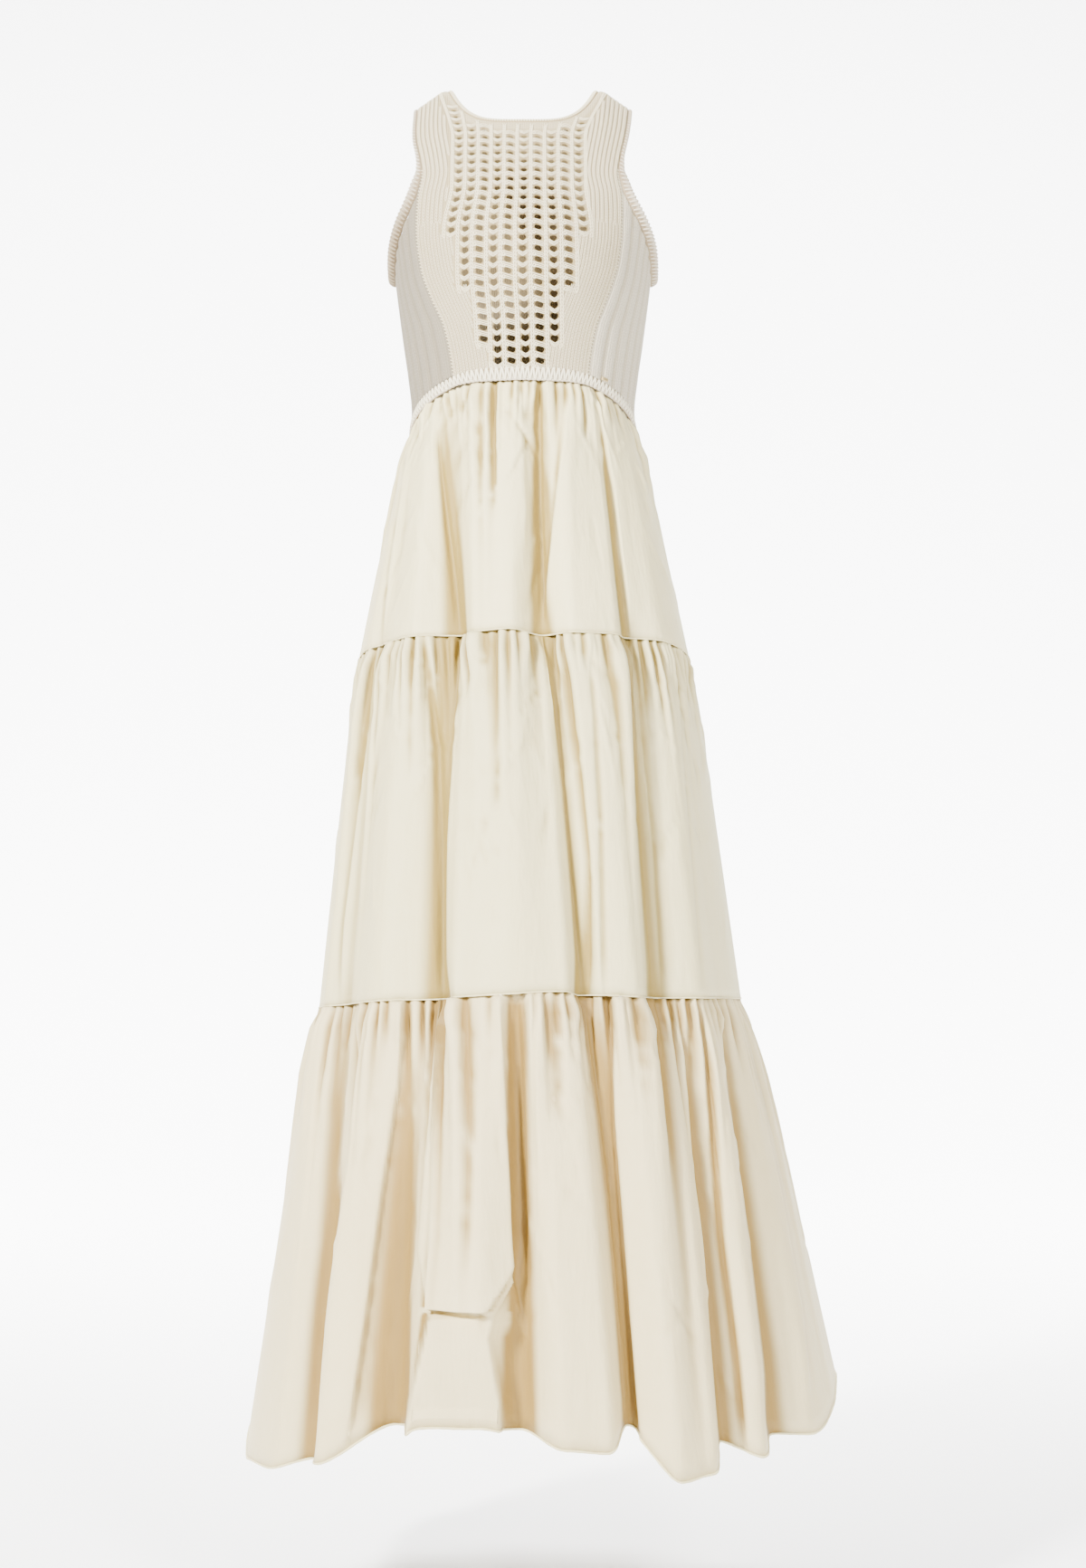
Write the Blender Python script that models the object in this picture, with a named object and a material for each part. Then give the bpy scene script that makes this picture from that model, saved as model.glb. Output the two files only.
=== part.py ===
"""Sleeveless maxi dress: a cream cotton knit bodice on a three-tier gathered poplin skirt.

Metres, +Z up. The dress hangs as it is worn: its front faces -Y, its wearer's left is +X,
and the origin is on the top of the shoulders, midway between the two straps.
"""
import math
from collections import namedtuple

import bmesh
import bpy
import numpy as np
from mathutils import Matrix, Vector

# Driving sizes of the whole dress
SEAM_GAP = 0.0003
SKIRT_SEAM_GAP = 0.0008
KNIT_THICKNESS = 0.0022
POPLIN_THICKNESS = 0.0013
PANEL_END_GAP = 0.65 * SEAM_GAP
SHOULDER_SLOPE = 0.70
SHOULDER_SLOPE_STARTS_AT = 0.085
SHOULDER_SLOPE_ENDS_BELOW = 0.10

# The bodice
NECK_HALF_ANGLE = 30.5
FRONT_NECK_DEPTH = 0.0464
BACK_NECK_DEPTH = 0.0350
NECK_CORNER_POWER = 4.0
STRAP_EDGE_ANGLE = 44.5
ARMHOLE_JOIN_Z = -0.100
SIDE_SEAM_ANGLE = 95.0
UNDERARM_Z = -0.2095
COURSE_PITCH = 0.0115
ROW_CLEARANCE = 0.35 * COURSE_PITCH
HOLE_COLUMNS = 10
FLANK_STRIPS = 3
TOPMOST_HOLE_Z = -0.055
SIDE_RIBS = 7
BACK_RIBS = 16
RIB_RELIEF = 0.0009

# The edges sewn round the knit
NECK_EDGE_WIDTH = 0.0050
NECK_EDGE_THICKNESS = 0.0034
ARMHOLE_EDGE_WIDTH = 0.0110
STRAP_EDGE_WIDTH = 0.0040
ARMHOLE_EDGE_THICKNESS = 0.0044
ARMHOLE_EDGE_WIDENS_FROM_Z, ARMHOLE_EDGE_WIDENS_OVER = -0.075, 0.045
ARMHOLE_EDGE_FLARE = 52.0
ARMHOLE_EDGE_FLARES_FROM_Z, ARMHOLE_EDGE_FLARES_OVER = -0.095, 0.055
SAME_PLACE = 0.0016
WAIST_EDGE_THICKNESS = 0.0046
TAG_LENGTH, TAG_HEIGHT, TAG_THICKNESS = 0.0090, 0.0036, 0.0008
TAG_ANGLE = 45.0
TAG_ABOVE_WAIST_EDGE = 0.0032
TAG_CLEARANCE = 0.0006
TAG_BEVEL = 0.0002

# The skirt
GATHERS_AT_WAIST = 40
GATHERS_AT_SEAM_1 = 60
GATHERS_AT_SEAM_2 = 80
GATHER_AT_SEAM = 0.45
GATHER_FADE = 3.2
PUFF_DROP, PUFF_POWER = 0.13, 1.6
TUCK_STEP_IN = 0.010
TUCK_BULGE = 0.004
BACK_FOLD_SHARE, BACK_DROP_SHARE = 0.85, 0.4

# Level sections through the bodice, from the shoulders down
Section = namedtuple("Section", "z half_width front back")
TORSO = [
    Section(0.000, 0.1600, 0.0000, 0.0000),
    Section(-0.0035, 0.1600, 0.0115, 0.0120),
    Section(-0.013, 0.1600, 0.0240, 0.0270),
    Section(-0.030, 0.1600, 0.0420, 0.0460),
    Section(-0.050, 0.1595, 0.0600, 0.0620),
    Section(-0.087, 0.1555, 0.0850, 0.0830),
    Section(-0.120, 0.1510, 0.1020, 0.0930),
    Section(-0.156, 0.1430, 0.1160, 0.0990),
    Section(-0.190, 0.1370, 0.1230, 0.0990),
    Section(-0.2134, 0.1345, 0.1225, 0.0960),
    Section(-0.245, 0.1305, 0.1155, 0.0910),
    Section(-0.275, 0.1265, 0.1070, 0.0860),
    Section(-0.310, 0.1215, 0.0990, 0.0820),
    Section(-0.345, 0.1180, 0.0940, 0.0810),
    Section(-0.372, 0.1215, 0.0960, 0.0840),
    Section(-0.410, 0.1260, 0.1000, 0.0880),
]

# Edge of the front panel: the strap's outer edge, then the curved princess line
PanelEdge = namedtuple("PanelEdge", "z angle")
FRONT_PANEL_EDGE = [
    PanelEdge(0.000, 44.8), PanelEdge(-0.040, 44.0), PanelEdge(-0.087, 42.0), PanelEdge(-0.100, 41.7),
    PanelEdge(-0.130, 45.5), PanelEdge(-0.156, 48.5), PanelEdge(-0.180, 50.0), PanelEdge(-0.200, 49.3),
    PanelEdge(-0.235, 44.3), PanelEdge(-0.250, 41.3), PanelEdge(-0.263, 38.7), PanelEdge(-0.289, 36.5),
    PanelEdge(-0.330, 35.2),
]

# Armhole from its join with the princess line down to the underarm, seen from the front centre
ArmholePoint = namedtuple("ArmholePoint", "angle z")
ARMHOLE_FRONT = [
    ArmholePoint(41.7, ARMHOLE_JOIN_Z), ArmholePoint(45.0, -0.122), ArmholePoint(50.0, -0.137),
    ArmholePoint(58.0, -0.153), ArmholePoint(65.0, -0.166), ArmholePoint(73.0, -0.180),
    ArmholePoint(82.0, -0.197), ArmholePoint(90.0, -0.2080), ArmholePoint(95.0, UNDERARM_Z),
]
# The same on the back, with its angles from the back centre
ARMHOLE_BACK = [
    ArmholePoint(STRAP_EDGE_ANGLE, 0.000), ArmholePoint(45.2, -0.060), ArmholePoint(46.5, -0.090),
    ArmholePoint(50.0, -0.118), ArmholePoint(57.0, -0.146), ArmholePoint(66.0, -0.170),
    ArmholePoint(76.0, -0.195), ArmholePoint(85.0, UNDERARM_Z),
]

# The back's straps lean in towards its middle below the shoulder: share of each line's own angle
BackLean = namedtuple("BackLean", "z share")
BACK_LEAN = [
    BackLean(0.000, 1.000), BackLean(-0.035, 0.945), BackLean(-0.070, 0.895), BackLean(-0.100, 0.905),
    BackLean(-0.130, 0.950), BackLean(-0.165, 1.000), BackLean(-0.420, 1.000),
]

# Openwork field: where its middle lies and how far apart its ten columns of holes are
LatticeRow = namedtuple("LatticeRow", "z centre_x pitch hole_width hole_height")
LATTICE = [
    LatticeRow(0.000, 0.0000, 0.0178, 0.0040, 0.0042), LatticeRow(-0.020, -0.0020, 0.0165, 0.0042, 0.0044),
    LatticeRow(-0.040, -0.0042, 0.0150, 0.0044, 0.0048), LatticeRow(-0.063, -0.0057, 0.0139, 0.0048, 0.0050),
    LatticeRow(-0.117, -0.0057, 0.0139, 0.0060, 0.0056), LatticeRow(-0.167, -0.0076, 0.0153, 0.0072, 0.0062),
    LatticeRow(-0.214, -0.0076, 0.0155, 0.0078, 0.0068), LatticeRow(-0.260, -0.0052, 0.0149, 0.0082, 0.0076),
    LatticeRow(-0.330, -0.0035, 0.0146, 0.0084, 0.0084),
]
# How low the holes reach: columns of holes on each side of the middle, by height
LatticeReach = namedtuple("LatticeReach", "z columns")
LATTICE_REACH = [
    LatticeReach(0.000, 5.0), LatticeReach(-0.170, 5.0), LatticeReach(-0.226, 4.0),
    LatticeReach(-0.285, 3.0), LatticeReach(-0.306, 2.0), LatticeReach(-0.330, 2.0),
]

# Lower line and height of the waist edge, by the angle from the front centre
WaistPoint = namedtuple("WaistPoint", "angle z height")
WAIST_EDGE = [
    WaistPoint(0.0, -0.3225, 0.0135), WaistPoint(20.0, -0.3238, 0.0130), WaistPoint(33.0, -0.3262, 0.0115),
    WaistPoint(46.0, -0.3325, 0.0100), WaistPoint(60.0, -0.3420, 0.0100), WaistPoint(72.0, -0.3510, 0.0100),
    WaistPoint(82.0, -0.3600, 0.0100), WaistPoint(90.0, -0.3680, 0.0100), WaistPoint(110.0, -0.3800, 0.0110),
    WaistPoint(140.0, -0.3880, 0.0110), WaistPoint(180.0, -0.3900, 0.0110),
]

# Rings of the skirt: half width, depth to the front and back, and height at front, sides and back
Ring = namedtuple("Ring", "half_width front back centre_x z_front z_left z_right z_back bow")
SEAM_1 = Ring(0.1775, 0.150, 0.150, 0.0015, -0.5870, -0.6185, -0.6150, -0.630, 1.6)
SEAM_2 = Ring(0.2255, 0.205, 0.210, 0.0080, -0.9510, -0.9830, -0.9720, -0.985, 0.7)
HEM = Ring(0.3130, 0.272, 0.285, 0.0210, -1.3750, -1.4300, -1.3720, -1.400, 1.0)

# Folds of each tier, from its wearer's right to left across the front. A ridge stands out of the
# ring and a valley (out below 0) goes in; drop is how far its lower edge hangs below the ring.
Fold = namedtuple("Fold", "top_x bottom_x out drop roundness")
TIER_1_FOLDS = [
    Fold(-0.110, -0.162, 0.003, 0.000, 0.9), Fold(-0.103, -0.147, -0.005, 0.000, 0.8),
    Fold(-0.093, -0.110, 0.007, 0.000, 0.9), Fold(-0.082, -0.068, -0.017, 0.002, 0.8),
    Fold(-0.052, -0.046, 0.005, -0.001, 0.9), Fold(-0.012, -0.012, 0.011, -0.003, 0.9),
    Fold(0.018, 0.0225, -0.015, 0.003, 0.8), Fold(0.045, 0.052, 0.009, 0.000, 0.9),
    Fold(0.068, 0.092, 0.007, 0.000, 0.9), Fold(0.076, 0.110, -0.008, 0.002, 0.7),
    Fold(0.098, 0.143, 0.004, 0.000, 0.9),
]
TIER_2_FOLDS = [
    Fold(-0.163, -0.205, 0.004, 0.000, 0.9), Fold(-0.150, -0.188, -0.008, 0.000, 0.8),
    Fold(-0.125, -0.140, 0.010, -0.001, 0.9), Fold(-0.090, -0.082, -0.018, 0.003, 0.8),
    Fold(-0.057, -0.060, 0.010, 0.000, 0.9), Fold(-0.020, -0.010, 0.016, -0.001, 0.9),
    Fold(0.014, 0.040, 0.010, -0.003, 0.9), Fold(0.030, 0.060, -0.012, 0.002, 0.8),
    Fold(0.052, 0.081, 0.006, 0.000, 0.9), Fold(0.075, 0.108, 0.012, 0.000, 0.9),
    Fold(0.105, 0.138, -0.012, 0.002, 0.7), Fold(0.135, 0.178, 0.006, 0.000, 0.9),
    Fold(0.158, 0.210, -0.004, 0.000, 0.8),
]
TIER_3_FOLDS = [
    Fold(-0.206, -0.2815, 0.006, 0.033, 0.9), Fold(-0.200, -0.254, 0.004, 0.040, 0.9),
    Fold(-0.181, -0.222, -0.012, 0.031, 0.8), Fold(-0.160, -0.196, 0.014, 0.031, 0.9),
    Fold(-0.118, -0.143, -0.036, 0.000, 0.9), Fold(-0.080, -0.092, 0.012, -0.008, 0.9),
    Fold(-0.040, -0.042, 0.016, -0.005, 0.9), Fold(-0.006, -0.004, -0.024, 0.002, 0.8),
    Fold(0.022, 0.045, 0.014, 0.015, 0.9), Fold(0.048, 0.082, 0.012, 0.019, 0.9),
    Fold(0.075, 0.108, -0.024, 0.000, 0.8), Fold(0.105, 0.150, 0.022, 0.050, 0.9),
    Fold(0.140, 0.182, 0.012, 0.048, 0.9), Fold(0.164, 0.208, -0.022, 0.026, 0.8),
    Fold(0.188, 0.240, 0.006, 0.042, 0.9), Fold(0.200, 0.262, -0.014, 0.028, 0.8),
    Fold(0.214, 0.296, 0.006, 0.034, 0.9),
]

# Heights of each tier's rows of points, as shares of its drop from the upper seam
TIER_ROWS = [0.0, 0.06, 0.25, 1.0]
TIER_3_FRONT_ROWS = [0.0, 0.06, 0.28, 0.69, 0.74, 1.0]
TUCK_ABOVE_ROW, TUCK_BELOW_ROW = 3, 4
TUCK_LEFT_X, TUCK_RIGHT_X = -0.105, -0.020


class Curve:
    """A smooth curve through points with rising x, which never swings past them."""

    def __init__(self, xs, ys):
        self.x = np.array(xs, float)
        self.y = np.array(ys, float)
        width = np.diff(self.x)
        slope = np.diff(self.y) / width
        tangent = np.zeros(len(self.x))
        tangent[0], tangent[-1] = slope[0], slope[-1]
        for i in range(1, len(slope)):
            if slope[i - 1] * slope[i] > 0:
                before, after = 2 * width[i] + width[i - 1], width[i] + 2 * width[i - 1]
                tangent[i] = (before + after) / (before / slope[i - 1] + after / slope[i])
        self.tangent = tangent

    def __call__(self, x):
        x = min(max(x, self.x[0]), self.x[-1])
        i = min(int(np.searchsorted(self.x, x, side="right")) - 1, len(self.x) - 2)
        width = self.x[i + 1] - self.x[i]
        t = (x - self.x[i]) / width
        return ((1 + 2 * t) * (1 - t) ** 2 * self.y[i] + t * (1 - t) ** 2 * width * self.tangent[i]
                + t * t * (3 - 2 * t) * self.y[i + 1] - t * t * (1 - t) * width * self.tangent[i + 1])


def curve_down(rows, column):
    """Curve of one column of a table whose z falls from row to row."""
    return Curve([-row.z for row in rows], [getattr(row, column) for row in rows])


def find(function, low, high):
    """Where a function that falls from above to below zero crosses it."""
    for _ in range(40):
        middle = 0.5 * (low + high)
        if function(middle) > 0:
            low = middle
        else:
            high = middle
    return 0.5 * (low + high)


def clear_scene():
    for obj in list(bpy.data.objects):
        bpy.data.objects.remove(obj)


def make_material(name, colour, roughness, metallic=0.0):
    material = bpy.data.materials.new(name)
    material.use_nodes = True
    shader = material.node_tree.nodes["Principled BSDF"]
    shader.inputs["Base Color"].default_value = (*colour, 1.0)
    shader.inputs["Roughness"].default_value = roughness
    shader.inputs["Metallic"].default_value = metallic
    return material


def add_object(name, points, faces, material):
    """One closed body from its points and faces, turned to face out."""
    mesh = bpy.data.meshes.new(name)
    mesh.from_pydata([tuple(p) for p in points], [], faces)
    shape = bmesh.new()
    shape.from_mesh(mesh)
    if shape.calc_volume(signed=True) < 0:
        bmesh.ops.reverse_faces(shape, faces=shape.faces[:])
    shape.to_mesh(mesh)
    shape.free()
    mesh.shade_smooth()
    mesh.set_sharp_from_angle(angle=math.radians(40))
    mesh.materials.append(material)
    obj = bpy.data.objects.new(name, mesh)
    bpy.context.collection.objects.link(obj)
    return obj


def add_wall(name, outer, inner, faces, material):
    """A wall of cloth: its outer face, its inner face and the rims of its edges and holes."""
    count = len(outer)
    edges = {}
    for face in faces:
        for a, b in zip(face, face[1:] + face[:1]):
            edges[(a, b)] = True
    rims = []
    for a, b in edges:
        if (b, a) not in edges:
            rims.extend([(b, a, a + count), (b, a + count, b + count)])
    back_faces = [tuple(i + count for i in reversed(face)) for face in faces]
    return add_object(name, list(outer) + list(inner), faces + back_faces + rims, material)


def unit(vector):
    return vector / np.linalg.norm(vector)


class Torso:
    """The bodice's outer surface: angle from the front centre, and distance down the front."""

    def __init__(self):
        step = [math.hypot(b.z - a.z, b.front - a.front) for a, b in zip(TORSO, TORSO[1:])]
        down = np.concatenate([[0.0], np.cumsum(step)])
        self.length = down[-1]
        self.z = Curve(down, [row.z for row in TORSO])
        self.half_width = Curve(down, [row.half_width for row in TORSO])
        self.front = Curve(down, [row.front for row in TORSO])
        self.back = Curve(down, [row.back for row in TORSO])

    def down_to(self, z):
        return find(lambda down: self.z(down) - z, 0.0, self.length)

    def point(self, angle, down):
        side, forward = math.sin(math.radians(angle)), math.cos(math.radians(angle))
        depth = self.front(down) if forward >= 0 else self.back(down)
        x, z = self.half_width(down) * side, self.z(down)
        slope = SHOULDER_SLOPE * max(0.0, 1.0 + z / SHOULDER_SLOPE_ENDS_BELOW)
        return np.array([x, -depth * forward, z - slope * max(0.0, abs(x) - SHOULDER_SLOPE_STARTS_AT)])

    def normal(self, angle, down):
        step = 0.0005
        across = self.point(angle + 0.1, down) - self.point(angle - 0.1, down)
        along = self.point(angle, down + step) - self.point(angle, max(0.0, down - step))
        normal = np.cross(along, across)
        if down < 1e-6:
            normal[1] = 0.0
        return unit(normal)


torso = Torso()
waist_z = Curve([p.angle for p in WAIST_EDGE], [p.z for p in WAIST_EDGE])
waist_height = Curve([p.angle for p in WAIST_EDGE], [p.height for p in WAIST_EDGE])
panel_edge_angle = curve_down(FRONT_PANEL_EDGE, "angle")
lattice_centre = curve_down(LATTICE, "centre_x")
lattice_pitch = curve_down(LATTICE, "pitch")
hole_width = curve_down(LATTICE, "hole_width")
hole_height = curve_down(LATTICE, "hole_height")
armhole_front_z = Curve([p.angle for p in ARMHOLE_FRONT], [p.z for p in ARMHOLE_FRONT])
armhole_back_angle = curve_down(ARMHOLE_BACK, "angle")
back_lean = curve_down(BACK_LEAN, "share")


def angle_from_front(angle):
    """Any angle as one from 0 at the front centre to 180 at the back centre."""
    return abs((angle + 180.0) % 360.0 - 180.0)


def neck_z(angle, depth):
    """Height of the neckline at an angle from the front or back centre."""
    share = min(1.0, abs(angle) / NECK_HALF_ANGLE)
    return -depth * (1.0 - share ** NECK_CORNER_POWER)


def knit_bottom(angle_at):
    """Distance down a line of the knit to the top of the waist edge."""
    def above(down):
        angle = angle_from_front(angle_at(down))
        return torso.z(down) - (waist_z(angle) + waist_height(angle))
    return find(above, 0.10, torso.length)


class KnitPanel:
    """One knitted panel, built as lines of points from the waist up, joined strip by strip."""

    def __init__(self):
        self.outer, self.inner, self.normals, self.faces = [], [], [], []

    def add(self, angle, down, relief=0.0, shift=0.0):
        normal = torso.normal(angle, down)
        base = torso.point(angle, down)
        across = unit(torso.point(angle + 0.1, down) - torso.point(angle - 0.1, down))
        base = base + across * shift
        if down < 1e-6:
            base[1] += 0.5 * SEAM_GAP * (-1.0 if angle_from_front(angle) < 90.0 else 1.0)
        self.outer.append(base + normal * relief)
        self.inner.append(base - normal * KNIT_THICKNESS)
        self.normals.append(normal)
        return len(self.outer) - 1

    def line(self, angle_at, rows, top, bottom, relief=0.0, shift=0.0):
        """Points of one line at the rows between its ends, lowest first, as (down, index)."""
        inside = [row for row in rows if top + ROW_CLEARANCE < row < bottom - ROW_CLEARANCE]
        points = [(bottom, self.add(angle_at(bottom), bottom, 0.0, shift))]
        for down in sorted(inside, reverse=True):
            points.append((down, self.add(angle_at(down), down, relief, shift)))
        points.append((top, self.add(angle_at(top), top, 0.0, shift)))
        return points

    def join(self, left, right, hole=None):
        """Faces of the strip between two lines; where both have a row, hole may open the cell."""
        i = j = 0
        while i < len(left) - 1 or j < len(right) - 1:
            here = left[i][1], right[j][1]
            left_next = left[i + 1][0] if i < len(left) - 1 else -1.0
            right_next = right[j + 1][0] if j < len(right) - 1 else -1.0
            if abs(left_next - right_next) < 1e-7:
                corners = (here[0], here[1], right[j + 1][1], left[i + 1][1])
                if not (hole and i and j and hole(corners, left[i][0], left_next)):
                    self.faces.append(corners)
                i, j = i + 1, j + 1
            elif left_next > right_next:
                self.faces.append((here[0], here[1], left[i + 1][1]))
                i += 1
            else:
                self.faces.append((here[0], here[1], right[j + 1][1]))
                j += 1

    def edge(self, indices):
        """Middle of the wall and its normal at each of some points, for a band sewn there."""
        return [(0.5 * (self.outer[i] + self.inner[i]), self.normals[i]) for i in indices]

    def build(self, name, material):
        return add_wall(name, self.outer, self.inner, self.faces, material)


courses = [COURSE_PITCH * n for n in range(1, int(torso.length / COURSE_PITCH))]
wide_courses = courses[1::2]
armhole_join = torso.down_to(ARMHOLE_JOIN_Z)
underarm = torso.down_to(UNDERARM_Z)


def front_line_angle(line, down):
    """Angle of a line of the front panel: 0 in the middle, 8 on its left edge, -8 on its right."""
    z = torso.z(down)
    half_width = torso.half_width(down)
    last = HOLE_COLUMNS // 2 + FLANK_STRIPS
    centre = lattice_centre(-z)
    edge = half_width * math.sin(math.radians(panel_edge_angle(-z)))
    pitch = lattice_pitch(-z)
    reach = float(np.interp(-z, [-r.z for r in LATTICE_REACH], [r.columns for r in LATTICE_REACH]))
    step = abs(line)
    if step <= reach:
        x = step * pitch
    else:
        x = reach * pitch + (step - reach) / (last - reach) * (edge - reach * pitch)
    shift = centre * (1.0 - 0.5 * min(1.0, x / edge))
    return math.degrees(math.asin(min(1.0, (math.copysign(x, line) + shift) / half_width)))


def front_neck_point(angle):
    """A point of the front neckline, as an angle and a distance down."""
    return angle, torso.down_to(neck_z(angle, FRONT_NECK_DEPTH)) if abs(angle) < NECK_HALF_ANGLE else 0.0


def build_front(material):
    """Front panel: the ladder of holes between its flanks, up to the neckline and shoulders."""
    panel = KnitPanel()
    last = HOLE_COLUMNS // 2 + FLANK_STRIPS
    lines = {}
    for line in range(-last, last + 1):
        def angle_at(down, line=line):
            return front_line_angle(line, down)
        if abs(angle_at(0.0)) < NECK_HALF_ANGLE:
            top = find(lambda down: torso.z(down) - neck_z(angle_at(down), FRONT_NECK_DEPTH), 0.0, 0.12)
        else:
            top = 0.0
        rows = courses if abs(line) <= HOLE_COLUMNS // 2 else wide_courses
        if abs(line) == last:
            rows = [row for row in rows if abs(row - armhole_join) > ROW_CLEARANCE] + [armhole_join]
        shift = -PANEL_END_GAP * (np.sign(line) if abs(line) == last else 0.0)
        lines[line] = panel.line(angle_at, rows, top, knit_bottom(angle_at), shift=shift)

    def cut_hole(strip):
        """Opens a diamond in a cell of the openwork field."""
        column = strip + 0.5

        def cut(corners, below, above):
            down = 0.5 * (below + above)
            z = torso.z(down)
            reach = [r for r in LATTICE_REACH if r.columns >= abs(column) + 0.5]
            if z > TOPMOST_HOLE_Z or z < reach[-1].z or abs(column) > HOLE_COLUMNS / 2:
                return False
            angle = front_line_angle(column, down)
            across = math.degrees(hole_width(-z) / 2 / torso.half_width(down) / math.cos(math.radians(angle)))
            half_height = hole_height(-z) / 2
            south = panel.add(angle, down + half_height)
            east = panel.add(angle + across, down)
            north = panel.add(angle, down - half_height)
            west = panel.add(angle - across, down)
            low_left, low_right, high_right, high_left = corners
            panel.faces.extend([
                (low_left, low_right, south), (low_right, east, south),
                (low_right, high_right, east), (high_right, north, east),
                (high_right, high_left, north), (high_left, west, north),
                (high_left, low_left, west), (low_left, south, west),
            ])
            return True
        return cut

    neck = [lines[0][-1][1]]
    neck_sides = {}
    for side in (-1, 1):
        points = []
        for step in range(0, last):
            inner_line, outer_line = lines[side * step], lines[side * (step + 1)]
            extra = []
            inner_angle = front_line_angle(side * step, inner_line[-1][0])
            outer_angle = front_line_angle(side * (step + 1), outer_line[-1][0])
            if abs(inner_angle) < NECK_HALF_ANGLE:
                stop = min(abs(outer_angle), NECK_HALF_ANGLE)
                pieces = 3 if abs(outer_angle) >= NECK_HALF_ANGLE else 1 + (step >= 3)
                for n in range(1, pieces):
                    between = abs(inner_angle) + (stop - abs(inner_angle)) * n / pieces
                    angle, down = front_neck_point(side * between)
                    extra.append((down, panel.add(angle, down)))
                if abs(outer_angle) >= NECK_HALF_ANGLE:
                    extra.append((0.0, panel.add(side * NECK_HALF_ANGLE, 0.0)))
                points.extend(index for _, index in extra)
                if abs(outer_angle) < NECK_HALF_ANGLE:
                    points.append(outer_line[-1][1])
            inner_chain = inner_line + extra
            strip = step if side > 0 else -step - 1
            hole = cut_hole(strip) if step < HOLE_COLUMNS // 2 else None
            if side > 0:
                panel.join(inner_chain, outer_line, hole)
            else:
                panel.join(outer_line, inner_chain, hole)
        neck_sides[side] = points
    neck = neck_sides[-1][::-1] + neck + neck_sides[1]
    panel.build("bodice_front", material)
    waist = panel.edge([lines[line][0][1] for line in range(-last, last + 1)])
    straps = {}
    for side in (-1, 1):
        edge_line = [entry for entry in lines[side * last] if entry[0] <= armhole_join + 1e-7]
        straps[side] = panel.edge([index for _, index in reversed(edge_line)])
    return panel.edge(neck), waist, straps


def build_side(side, name, material):
    """Ribbed side panel, from the princess line round to the side seam; side is the sign of X."""
    panel = KnitPanel()
    last = 2 * SIDE_RIBS
    edge = side * (HOLE_COLUMNS // 2 + FLANK_STRIPS)
    skew = abs(front_line_angle(edge, armhole_join)) - ARMHOLE_FRONT[0].angle
    lines = []
    for line in range(last + 1):
        def angle_at(down, line=line):
            seam, princess = side * SIDE_SEAM_ANGLE, front_line_angle(edge, down)
            return princess + (seam - princess) * line / last
        if line == 0:
            top = armhole_join
        else:
            def below_armhole(down):
                angle = abs(angle_at(down))
                share = (SIDE_SEAM_ANGLE - angle) / (SIDE_SEAM_ANGLE - ARMHOLE_FRONT[0].angle)
                return torso.z(down) - armhole_front_z(angle - skew * share)
            top = find(below_armhole, armhole_join, underarm + 0.01)
        shift = side * PANEL_END_GAP * {0: 1.0, last: -1.0}.get(line, 0.0)
        relief = RIB_RELIEF if line % 2 and line < last else 0.0
        lines.append(panel.line(angle_at, wide_courses, top, knit_bottom(angle_at), relief, shift))
    for near, far in zip(lines, lines[1:]):
        if side > 0:
            panel.join(near, far)
        else:
            panel.join(far, near)
    panel.build(name, material)
    return panel.edge([line[0][1] for line in lines]), panel.edge([line[-1][1] for line in lines])


def back_angle(angle, down):
    """Angle from the front of a point on a line of the back, given its own angle from the middle."""
    return 180.0 - angle * back_lean(-torso.z(down))


def build_back(material):
    """Ribbed back, from one side seam round to the other."""
    panel = KnitPanel()
    last = BACK_RIBS
    step = (180.0 - SIDE_SEAM_ANGLE) / last
    strap_rows = [row for row in wide_courses if torso.z(row) > ARMHOLE_JOIN_Z]
    chains, armholes, corner = {}, {-1: [], 1: []}, {}
    for line in range(-last, last + 1):
        angle = abs(line) * step
        if angle < NECK_HALF_ANGLE:
            top = torso.down_to(neck_z(angle, BACK_NECK_DEPTH))
        elif angle < STRAP_EDGE_ANGLE:
            top = 0.0
        else:
            top = find(lambda down: angle - armhole_back_angle(-torso.z(down)), 0.0, underarm)
        if abs(line) == last:
            top = underarm
        shift = PANEL_END_GAP * (np.sign(line) if abs(line) == last else 0.0)
        relief = RIB_RELIEF if line % 2 and abs(line) < last else 0.0

        def angle_at(down, line=line):
            return back_angle(line * step, down)
        chains[line] = panel.line(angle_at, wide_courses, top, knit_bottom(angle_at), relief, shift)
    for side in (-1, 1):
        for near in range(last):
            inner_line, outer_line = chains[side * near], chains[side * (near + 1)]
            inner_angle, outer_angle = near * step, (near + 1) * step
            inner_chain, outer_chain = list(inner_line), list(outer_line)
            if inner_angle < NECK_HALF_ANGLE <= outer_angle:
                index = panel.add(180.0 - side * NECK_HALF_ANGLE, 0.0)
                inner_chain.append((0.0, index))
                corner[side] = index
            if inner_angle < STRAP_EDGE_ANGLE <= outer_angle:
                extra = []
                for row in sorted(strap_rows + [0.0], reverse=True):
                    if row < outer_line[-1][0] - ROW_CLEARANCE:
                        angle = armhole_back_angle(-torso.z(row))
                        extra.append((row, panel.add(back_angle(side * angle, row), row)))
                outer_chain.extend(extra)
                armholes[side].extend(index for _, index in reversed(extra))
            if outer_angle >= STRAP_EDGE_ANGLE:
                armholes[side].append(outer_line[-1][1])
            if side > 0:
                panel.join(outer_chain, inner_chain)
            else:
                panel.join(inner_chain, outer_chain)
    inside_neck = [line for line in range(-last, last + 1) if abs(line) * step < NECK_HALF_ANGLE]
    neck = [corner[-1]] + [chains[line][-1][1] for line in inside_neck] + [corner[1]]
    panel.build("bodice_back", material)
    waist = panel.edge([chains[line][0][1] for line in range(-last, last + 1)])
    return panel.edge(neck), waist, {side: panel.edge(armholes[side]) for side in (-1, 1)}


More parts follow.
